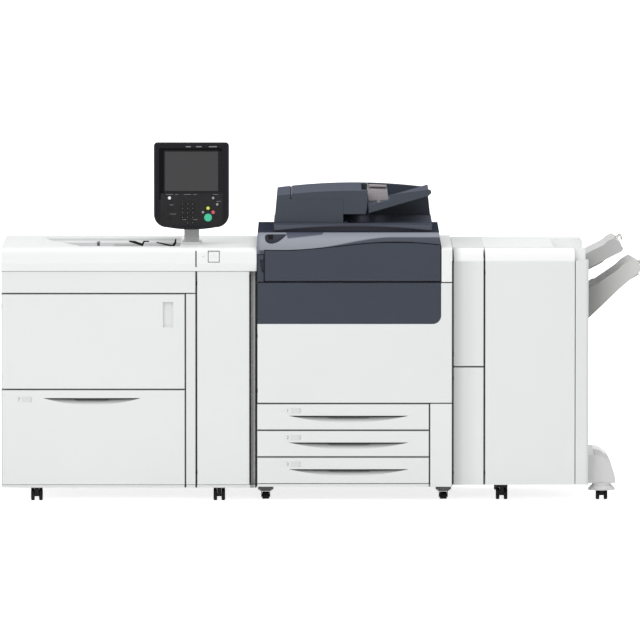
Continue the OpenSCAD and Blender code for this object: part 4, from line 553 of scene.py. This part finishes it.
LABEL = moulded("panel_label", colour(128, 128, 130), 0.6, tone=0.05, **PRINT_LOOK)
FAINT = moulded("faint_mark", colour(219, 222, 221), 0.45, tone=0.02, **PRINT_LOOK)
PALE = moulded("pale_key", colour(236, 236, 234), 0.35, bump=0.03, tone=0.02, wear=1.05, radius=0.5)
GREY = moulded("grey_key", colour(150, 150, 152), 0.4, bump=0.04, tone=0.05, wear=1.2, radius=0.5)

# Material of each node

DRESS = {
    "lift_plate": PLATE, "bypass_guide_front": BLACK, "bypass_guide_rear": BLACK, "engine_frame": FRAME,
    "feeder_cabinet": SIDE, "interface_cabinet": SIDE, "engine_rear_cover": SIDE, "engine_inner_cover": INNER,
    "release_lever": LEVER, "toner_bottles": BLACK, "scanner_body": GLOSS, "platen_glass": GLASS,
    "power_switch": BLACK, "document_guide_front": GUIDE, "document_guide_rear": GUIDE, "panel_post": POST,
    "panel_housing": PANEL, "touch_screen": SCREEN, "start_button": GREEN, "stop_button": RED,
    "clear_button": YELLOW, "keypad": KEYMAT, "finisher_top_cover": BRIGHT, "upper_tray": TRAY,
    "stacker_tray": LOW_TRAY, "booklet_hood": HOOD, "caster_forks": BLACK,
}
WHEELS = 12
for i in range(1, WHEELS + 1):
    DRESS["wheel_%d" % i] = TYRE


def dress(name, look, *paints):
    """Give one node a shared look and paints of its own."""
    DRESS[name] = moulded("look_" + name, paints=paints, **look)


# Fronts, each with the sides where a dark seam of painted shade shows
dress("feeder_band", WHITE_LOOK, edged("feeder_band", "right low high"))
dress("feeder_door", WHITE_LOOK, edged("feeder_door", "right low high"))
dress("relay_door", WHITE_LOOK, edged("relay_door", "left right"))
dress("front_door", WHITE_LOOK, edged("front_door"))
dress("interface_upper_door", WHITE_LOOK, side_lit, edged("interface_upper_door", "left right low"))
dress("interface_lower_door", WHITE_LOOK, side_lit, edged("interface_lower_door", "left right high"))
dress("finisher_door", WHITE_LOOK, crested, edged("finisher_door", "left"))
for name in SCOOPS:
    sides = "left right high" if name in ("feeder_drawer", "paper_tray_3") else "left right low high"
    dress(name, WHITE_LOOK, scooped(name), edged(name, sides))
for name in ("front_door_panel", "left_trim", "toner_cover"):
    dress(name, SLATE_LOOK, edged(name, near=DARK_SEAM_EDGE_SHADE))
dress("relay_cabinet", SHELL_LOOK, grip_strip, split_lines)
dress("finisher_cabinet", SHELL_LOOK, shaded_end, split_lines)
dress("worktop", BRIGHT_LOOK, recessed)
dress("engine_covers", BRIGHT_LOOK, calm_column, split_lines)
dress("document_feeder", FEEDER_LOOK, lit_crown, dark_lid)
dress("document_feeder_cover", FEEDER_LOOK, lit_crown)
dress("document_tray", FEEDER_LOOK, lit_crown)
for name, node in nodes.items():
    node.data.materials.clear()
    node.data.materials.append(DRESS[name])


# Pieces of trim. Marks stand a little proud of a front and reach a little into it

PROUD = 0.3
SUNK = 0.5


def add_mesh(name, bm, material, body, bevel=0.0, smooth=False):
    mesh = bpy.data.meshes.new(name)
    bmesh.ops.recalc_face_normals(bm, faces=bm.faces)
    if smooth:
        for face in bm.faces:
            face.smooth = True
    bm.to_mesh(mesh)
    bm.free()
    piece = bpy.data.objects.new(name, mesh)
    bpy.context.scene.collection.objects.link(piece)
    mesh.materials.append(material)
    if bevel:
        soft = piece.modifiers.new("bevel", "BEVEL")
        soft.width = bevel * MM
        soft.segments = 2
        soft.limit_method = "ANGLE"
    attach(piece, body)


def round_rectangle(x0, x1, z0, z1, radius, steps=5):
    points = []
    for cx, cz, start in ((x1 - radius, z1 - radius, 0), (x0 + radius, z1 - radius, 90),
                          (x0 + radius, z0 + radius, 180), (x1 - radius, z0 + radius, 270)):
        for i in range(steps + 1):
            angle = math.radians(start + 90.0 * i / steps)
            points.append((cx + radius * math.cos(angle), cz + radius * math.sin(angle)))
    return points


def add_loop(bm, points, y):
    """Vertices of an outline in X and Z, in millimetres, at one depth."""
    return [bm.verts.new((x * MM, y * MM, z * MM)) for x, z in points]


def join_loops(bm, first, second):
    for i in range(len(first)):
        j = (i + 1) % len(first)
        bm.faces.new((first[i], first[j], second[j], second[i]))


def front_plate(bm, points, y0, y1):
    """Plate with an outline in X and Z, from y0 to y1."""
    front = add_loop(bm, points, y0)
    back = add_loop(bm, points, y1)
    bm.faces.new(front)
    bm.faces.new(list(reversed(back)))
    join_loops(bm, front, back)


def front_ring(bm, outer, inner, y0, y1):
    """Frame between two outlines with as many points each."""
    loops = [add_loop(bm, points, y) for points, y in ((outer, y0), (inner, y0), (inner, y1), (outer, y1))]
    for i in range(len(loops)):
        join_loops(bm, loops[i], loops[(i + 1) % len(loops)])


def add_number(name, text, x, y, z, size, material, body):
    """A raised number that faces the viewer."""
    data = bpy.data.curves.new(name, "FONT")
    data.body = text
    data.size = size * MM
    data.extrude = 0.15 * MM
    data.align_x = "CENTER"
    data.align_y = "CENTER"
    data.materials.append(material)
    piece = bpy.data.objects.new(name, data)
    bpy.context.scene.collection.objects.link(piece)
    piece.location = (x * MM, y * MM, z * MM)
    piece.rotation_euler = (math.radians(90), 0.0, 0.0)
    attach(piece, body)


def tray_tag(name, number, body, tag_in, tag_drop):
    """A number in a round-ended frame, and a pale field for the paper size card. The tag's middle lies
    tag_in right of the drawer's left edge and tag_drop below its upper one."""
    front = Box(body)
    x, y, z = front.left + tag_in, front.face, front.high - tag_drop
    half_w, half_h, line, card_in, number_in, number_size = 32.0, 11.0, 1.0, 24.0, 13.0, 17.0
    left, right, low, high = x - half_w, x + half_w, z - half_h, z + half_h
    outer = round_rectangle(left, right, low, high, half_h - 0.1)
    inner = round_rectangle(left + line, right - line, low + line, high - line, half_h - line - 0.1)
    bm = bmesh.new()
    front_ring(bm, outer, inner, y - PROUD, y + SUNK)
    add_mesh(name + "_frame", bm, FAINT, body)
    card = round_rectangle(left + card_in, right, low + line, high - line, 2.0)
    bm = bmesh.new()
    front_plate(bm, card, y - PROUD, y + SUNK)
    add_mesh(name + "_card", bm, FAINT, body, bevel=0.1)
    add_number(name + "_number", number, left + number_in, y - PROUD / 2, z, number_size, INK, body)


for i, name in enumerate(TRAYS, 1):
    tray_tag("tray_%d_tag" % i, str(i), name, 139.0, 27.1)
tray_tag("feeder_tag", "7", "feeder_drawer", 86.5, 37.5)


def relay_sign():
    """Guide plate on the relay: a framed square with three thin frames in it and two small marks beside."""
    x, z, half, line = relay.left + 69.3, relay.high + 57.5, 23.0, 2.8
    inner_half = half - line
    bm = bmesh.new()
    front_ring(bm, round_rectangle(x - half, x + half, z - half, z + half, 2.0),
               round_rectangle(x - inner_half, x + inner_half, z - inner_half, z + inner_half, 1.2),
               Y_FRONT - PROUD, Y_FRONT + 0.6)
    add_mesh("relay_sign_frame", bm, INK, "line", bevel=0.1)
    thin = 0.8
    bm = bmesh.new()
    for x0, x1, z0, z1 in ((-14.0, -4.0, -6.0, 4.0), (-2.0, 5.0, -6.0, 7.0), (7.0, 14.0, -6.0, 2.0)):
        front_ring(bm, round_rectangle(x + x0, x + x1, z + z0, z + z1, thin, 2),
                   round_rectangle(x + x0 + thin, x + x1 - thin, z + z0 + thin, z + z1 - thin, thin / 2, 2),
                   Y_FRONT - 0.2, Y_FRONT + 0.4)
    add_mesh("relay_sign_figure", bm, FAINT, "line")
    bm = bmesh.new()
    for x0, x1, z1, radius in ((-47.0, -38.0, 2.0, 1.2), (-36.0, -33.0, 4.0, 1.0)):
        front_plate(bm, round_rectangle(x + x0, x + x1, z - 3.0, z + z1, radius, 3),
                    Y_FRONT - PROUD, Y_FRONT + SUNK)
    add_mesh("relay_sign_mark", bm, FAINT, "line")


relay_sign()


def dome(bm, x, y, z, radius, height, sides=24, rings=4):
    """A low round cap that bulges towards the viewer from y."""
    loops = []
    for r in range(rings):
        angle = math.radians(90.0 * r / rings)
        ring_radius = radius * math.cos(angle)
        ring = []
        for s in range(sides):
            turn = math.tau * s / sides
            ring.append((x + ring_radius * math.cos(turn), z + ring_radius * math.sin(turn)))
        loops.append(add_loop(bm, ring, y - height * math.sin(angle)))
    bm.faces.new(loops[0])
    for low, high in zip(loops, loops[1:]):
        join_loops(bm, low, high)
    top = bm.verts.new((x * MM, (y - height) * MM, z * MM))
    for s in range(sides):
        bm.faces.new((loops[-1][s], loops[-1][(s + 1) % sides], top))


def key_caps():
    """Round keys of the control panel, placed from the middle of its lower edge. The number keys are
    lower caps with a light mark each."""
    top = PANEL_FACE - 2.5
    radius, height, low_height, mark_radius = 5.2, 1.4, 1.0, 1.5
    for name, material, places, cap_radius in (
            ("white_key", PALE, ((-86.0, 124.0),), 6.4),
            ("pale_keys", GREY, ((85.0, 124.0), (101.0, 99.0), (45.0, 68.0)), radius),
            ("dark_side_keys", KEYMAT, ((-86.0, 84.0), (-86.0, 48.0)), radius)):
        bm = bmesh.new()
        for x, z in places:
            dome(bm, panel.middle + x, top, panel.low + z, cap_radius, height)
        add_mesh(name, bm, material, "control_panel", smooth=True)
    columns, rows, last_row = (-35.0, -15.0, 5.0), (101.0, 84.0, 66.0, 48.0), 27.0
    places = [(x, z) for x in columns for z in rows] + [(x, last_row) for x in columns[1:]]
    caps = bmesh.new()
    marks = bmesh.new()
    for x, z in places:
        dome(caps, panel.middle + x, top, panel.low + z, radius, low_height)
        dome(marks, panel.middle + x, top - 0.8, panel.low + z, mark_radius, 0.4, 10, 2)
    add_mesh("number_keys", caps, KEYMAT, "control_panel", smooth=True)
    add_mesh("number_key_marks", marks, GREY, "control_panel", smooth=True)


key_caps()


def panel_marks():
    """Short printed dashes among the keys below the screen, and the lamps along the panel's top."""
    bm = bmesh.new()
    dash_h, lamp_h, lamp_z = 1.6, 4.0, 323.0
    for x, z, width in ((-99.0, 137.0, 26.0), (-64.0, 137.0, 12.0), (-30.0, 137.0, 28.0), (7.0, 137.0, 14.0),
                        (84.0, 137.0, 20.0), (98.0, 110.0, 18.0), (-86.0, 96.0, 16.0), (-86.0, 60.0, 26.0),
                        (-36.0, 38.0, 16.0), (6.0, 38.0, 18.0)):
        x, z = panel.middle + x, panel.low + z
        front_plate(bm, round_rectangle(x, x + width, z, z + dash_h, 0.7, 2),
                    PANEL_FACE - 0.15, PANEL_FACE + PROUD)
    for x, width in ((-22.0, 20.0), (18.0, 22.0), (68.0, 32.0)):
        x, z = panel.middle + x, panel.low + lamp_z
        front_plate(bm, round_rectangle(x, x + width, z, z + lamp_h, 1.5, 3),
                    PANEL_FACE - 0.2, PANEL_FACE + PROUD)
    add_mesh("panel_marks", bm, LABEL, "control_panel")


panel_marks()


def screen_gasket():
    """Thin dark gasket round the screen; it laps over the glass a little."""
    gap, reach, cover = 0.3, 3.0, 1.0
    x0, x1 = screen_pane.left - gap, screen_pane.right + gap
    z0, z1 = screen_pane.low - gap, screen_pane.high + gap
    bm = bmesh.new()
    front_ring(bm, round_rectangle(x0 - reach, x1 + reach, z0 - reach, z1 + reach, 3.0),
               round_rectangle(x0 + cover, x1 - cover, z0 + cover, z1 - cover, 1.5),
               PANEL_FACE - 0.6, PANEL_FACE + 1.5)
    add_mesh("screen_gasket", bm, BLACK, "control_panel", bevel=0.4)


screen_gasket()


def tray_stop(name, tray_name, tip_in, tip_drop, body):
    """Milky stop that curls over the tip of an output tray."""
    tray = Box(tray_name)
    x, z = tray.right - tip_in, tray.high - tip_drop
    profile = [(-13.0, -6.0), (-3.0, 1.0), (6.0, 8.0), (13.0, 6.0), (16.0, -2.0), (14.0, -12.0),
               (11.0, -13.0), (12.0, -3.0), (9.0, 3.0), (5.0, 4.0), (-2.0, -3.0), (-10.0, -9.0)]
    bm = bmesh.new()
    front_plate(bm, [(x + across, z + up) for across, up in profile], tray.face + 113.5, tray.back - 112.5)
    add_mesh(name, bm, MILKY, body, bevel=0.8)


tray_stop("upper_tray_stop", "upper_tray", 17.3, 1.0, "line")
tray_stop("stacker_tray_stop", "stacker_tray", 20.0, 18.0, "stacker_tray")


# Floor and light, in metres

def make_stage():
    """Floor that glows for camera, mirror and glass rays, so that it looks white and keeps shadows."""
    t = Tree("floor_white")
    diffuse = t.add("ShaderNodeBsdfDiffuse")
    tone = t.spread(t.noise(0.6, 2.0), 0.0, 1.0)
    t.put(t.mix(tone, colour(243, 243, 243), colour(247, 247, 247)), diffuse.inputs["Color"])
    rays = t.add("ShaderNodeLightPath")
    either = t.math("MAXIMUM", rays.outputs["Is Glossy Ray"], rays.outputs["Is Transmission Ray"])
    seen = t.math("MAXIMUM", rays.outputs["Is Camera Ray"], either)
    glow = t.add("ShaderNodeEmission")
    t.put(WHITE, glow.inputs["Color"])
    t.put(t.times(seen, 0.80), glow.inputs["Strength"])
    both = t.add("ShaderNodeAddShader")
    t.put(diffuse.outputs["BSDF"], both.inputs[0])
    t.put(glow.outputs["Emission"], both.inputs[1])
    t.put(both.outputs["Shader"], t.output.inputs["Surface"])
    side = 60.0
    bm = bmesh.new()
    corners = ((-side, -side), (side, -side), (side, 2 * side), (-side, 2 * side))
    bm.faces.new([bm.verts.new((x, y, 0.0)) for x, y in corners])
    mesh = bpy.data.meshes.new("floor")
    bm.to_mesh(mesh)
    bm.free()
    mesh.materials.append(t.material)
    floor = bpy.data.objects.new("floor", mesh)
    bpy.context.scene.collection.objects.link(floor)


def make_world():
    """White backdrop for camera and glass rays, softer light for all others."""
    world = bpy.data.worlds.new("studio")
    bpy.context.scene.world = world
    world.use_nodes = True
    tree = world.node_tree
    tree.nodes.clear()
    out = tree.nodes.new("ShaderNodeOutputWorld")
    mix = tree.nodes.new("ShaderNodeMixShader")
    for place, strength in ((1, 0.75), (2, 1.0)):
        background = tree.nodes.new("ShaderNodeBackground")
        background.inputs["Color"].default_value = WHITE
        background.inputs["Strength"].default_value = strength
        tree.links.new(background.outputs["Background"], mix.inputs[place])
    rays = tree.nodes.new("ShaderNodeLightPath")
    seen = tree.nodes.new("ShaderNodeMath")
    seen.operation = "MAXIMUM"
    tree.links.new(rays.outputs["Is Camera Ray"], seen.inputs[0])
    tree.links.new(rays.outputs["Is Transmission Ray"], seen.inputs[1])
    tree.links.new(seen.outputs["Value"], mix.inputs["Fac"])
    tree.links.new(mix.outputs["Shader"], out.inputs["Surface"])


def area_light(name, place, target, size_x, size_y, power):
    data = bpy.data.lights.new(name, "AREA")
    data.shape = "RECTANGLE"
    data.size = size_x
    data.size_y = size_y
    data.energy = power
    lamp = bpy.data.objects.new(name, data)
    bpy.context.scene.collection.objects.link(lamp)
    lamp.location = place
    lamp.rotation_mode = "QUATERNION"
    lamp.rotation_quaternion = (Vector(target) - Vector(place)).to_track_quat("-Z", "Y")


make_stage()
make_world()
LIT_POINT = (0.0, 0.0, 0.7)
area_light("key", (-2.5, -6.0, 5.0), LIT_POINT, 4.0, 3.0, 118.0)
area_light("top", (0.5, -0.5, 5.5), LIT_POINT, 5.0, 3.0, 68.0)
bpy.context.scene.view_settings.view_transform = "Standard"
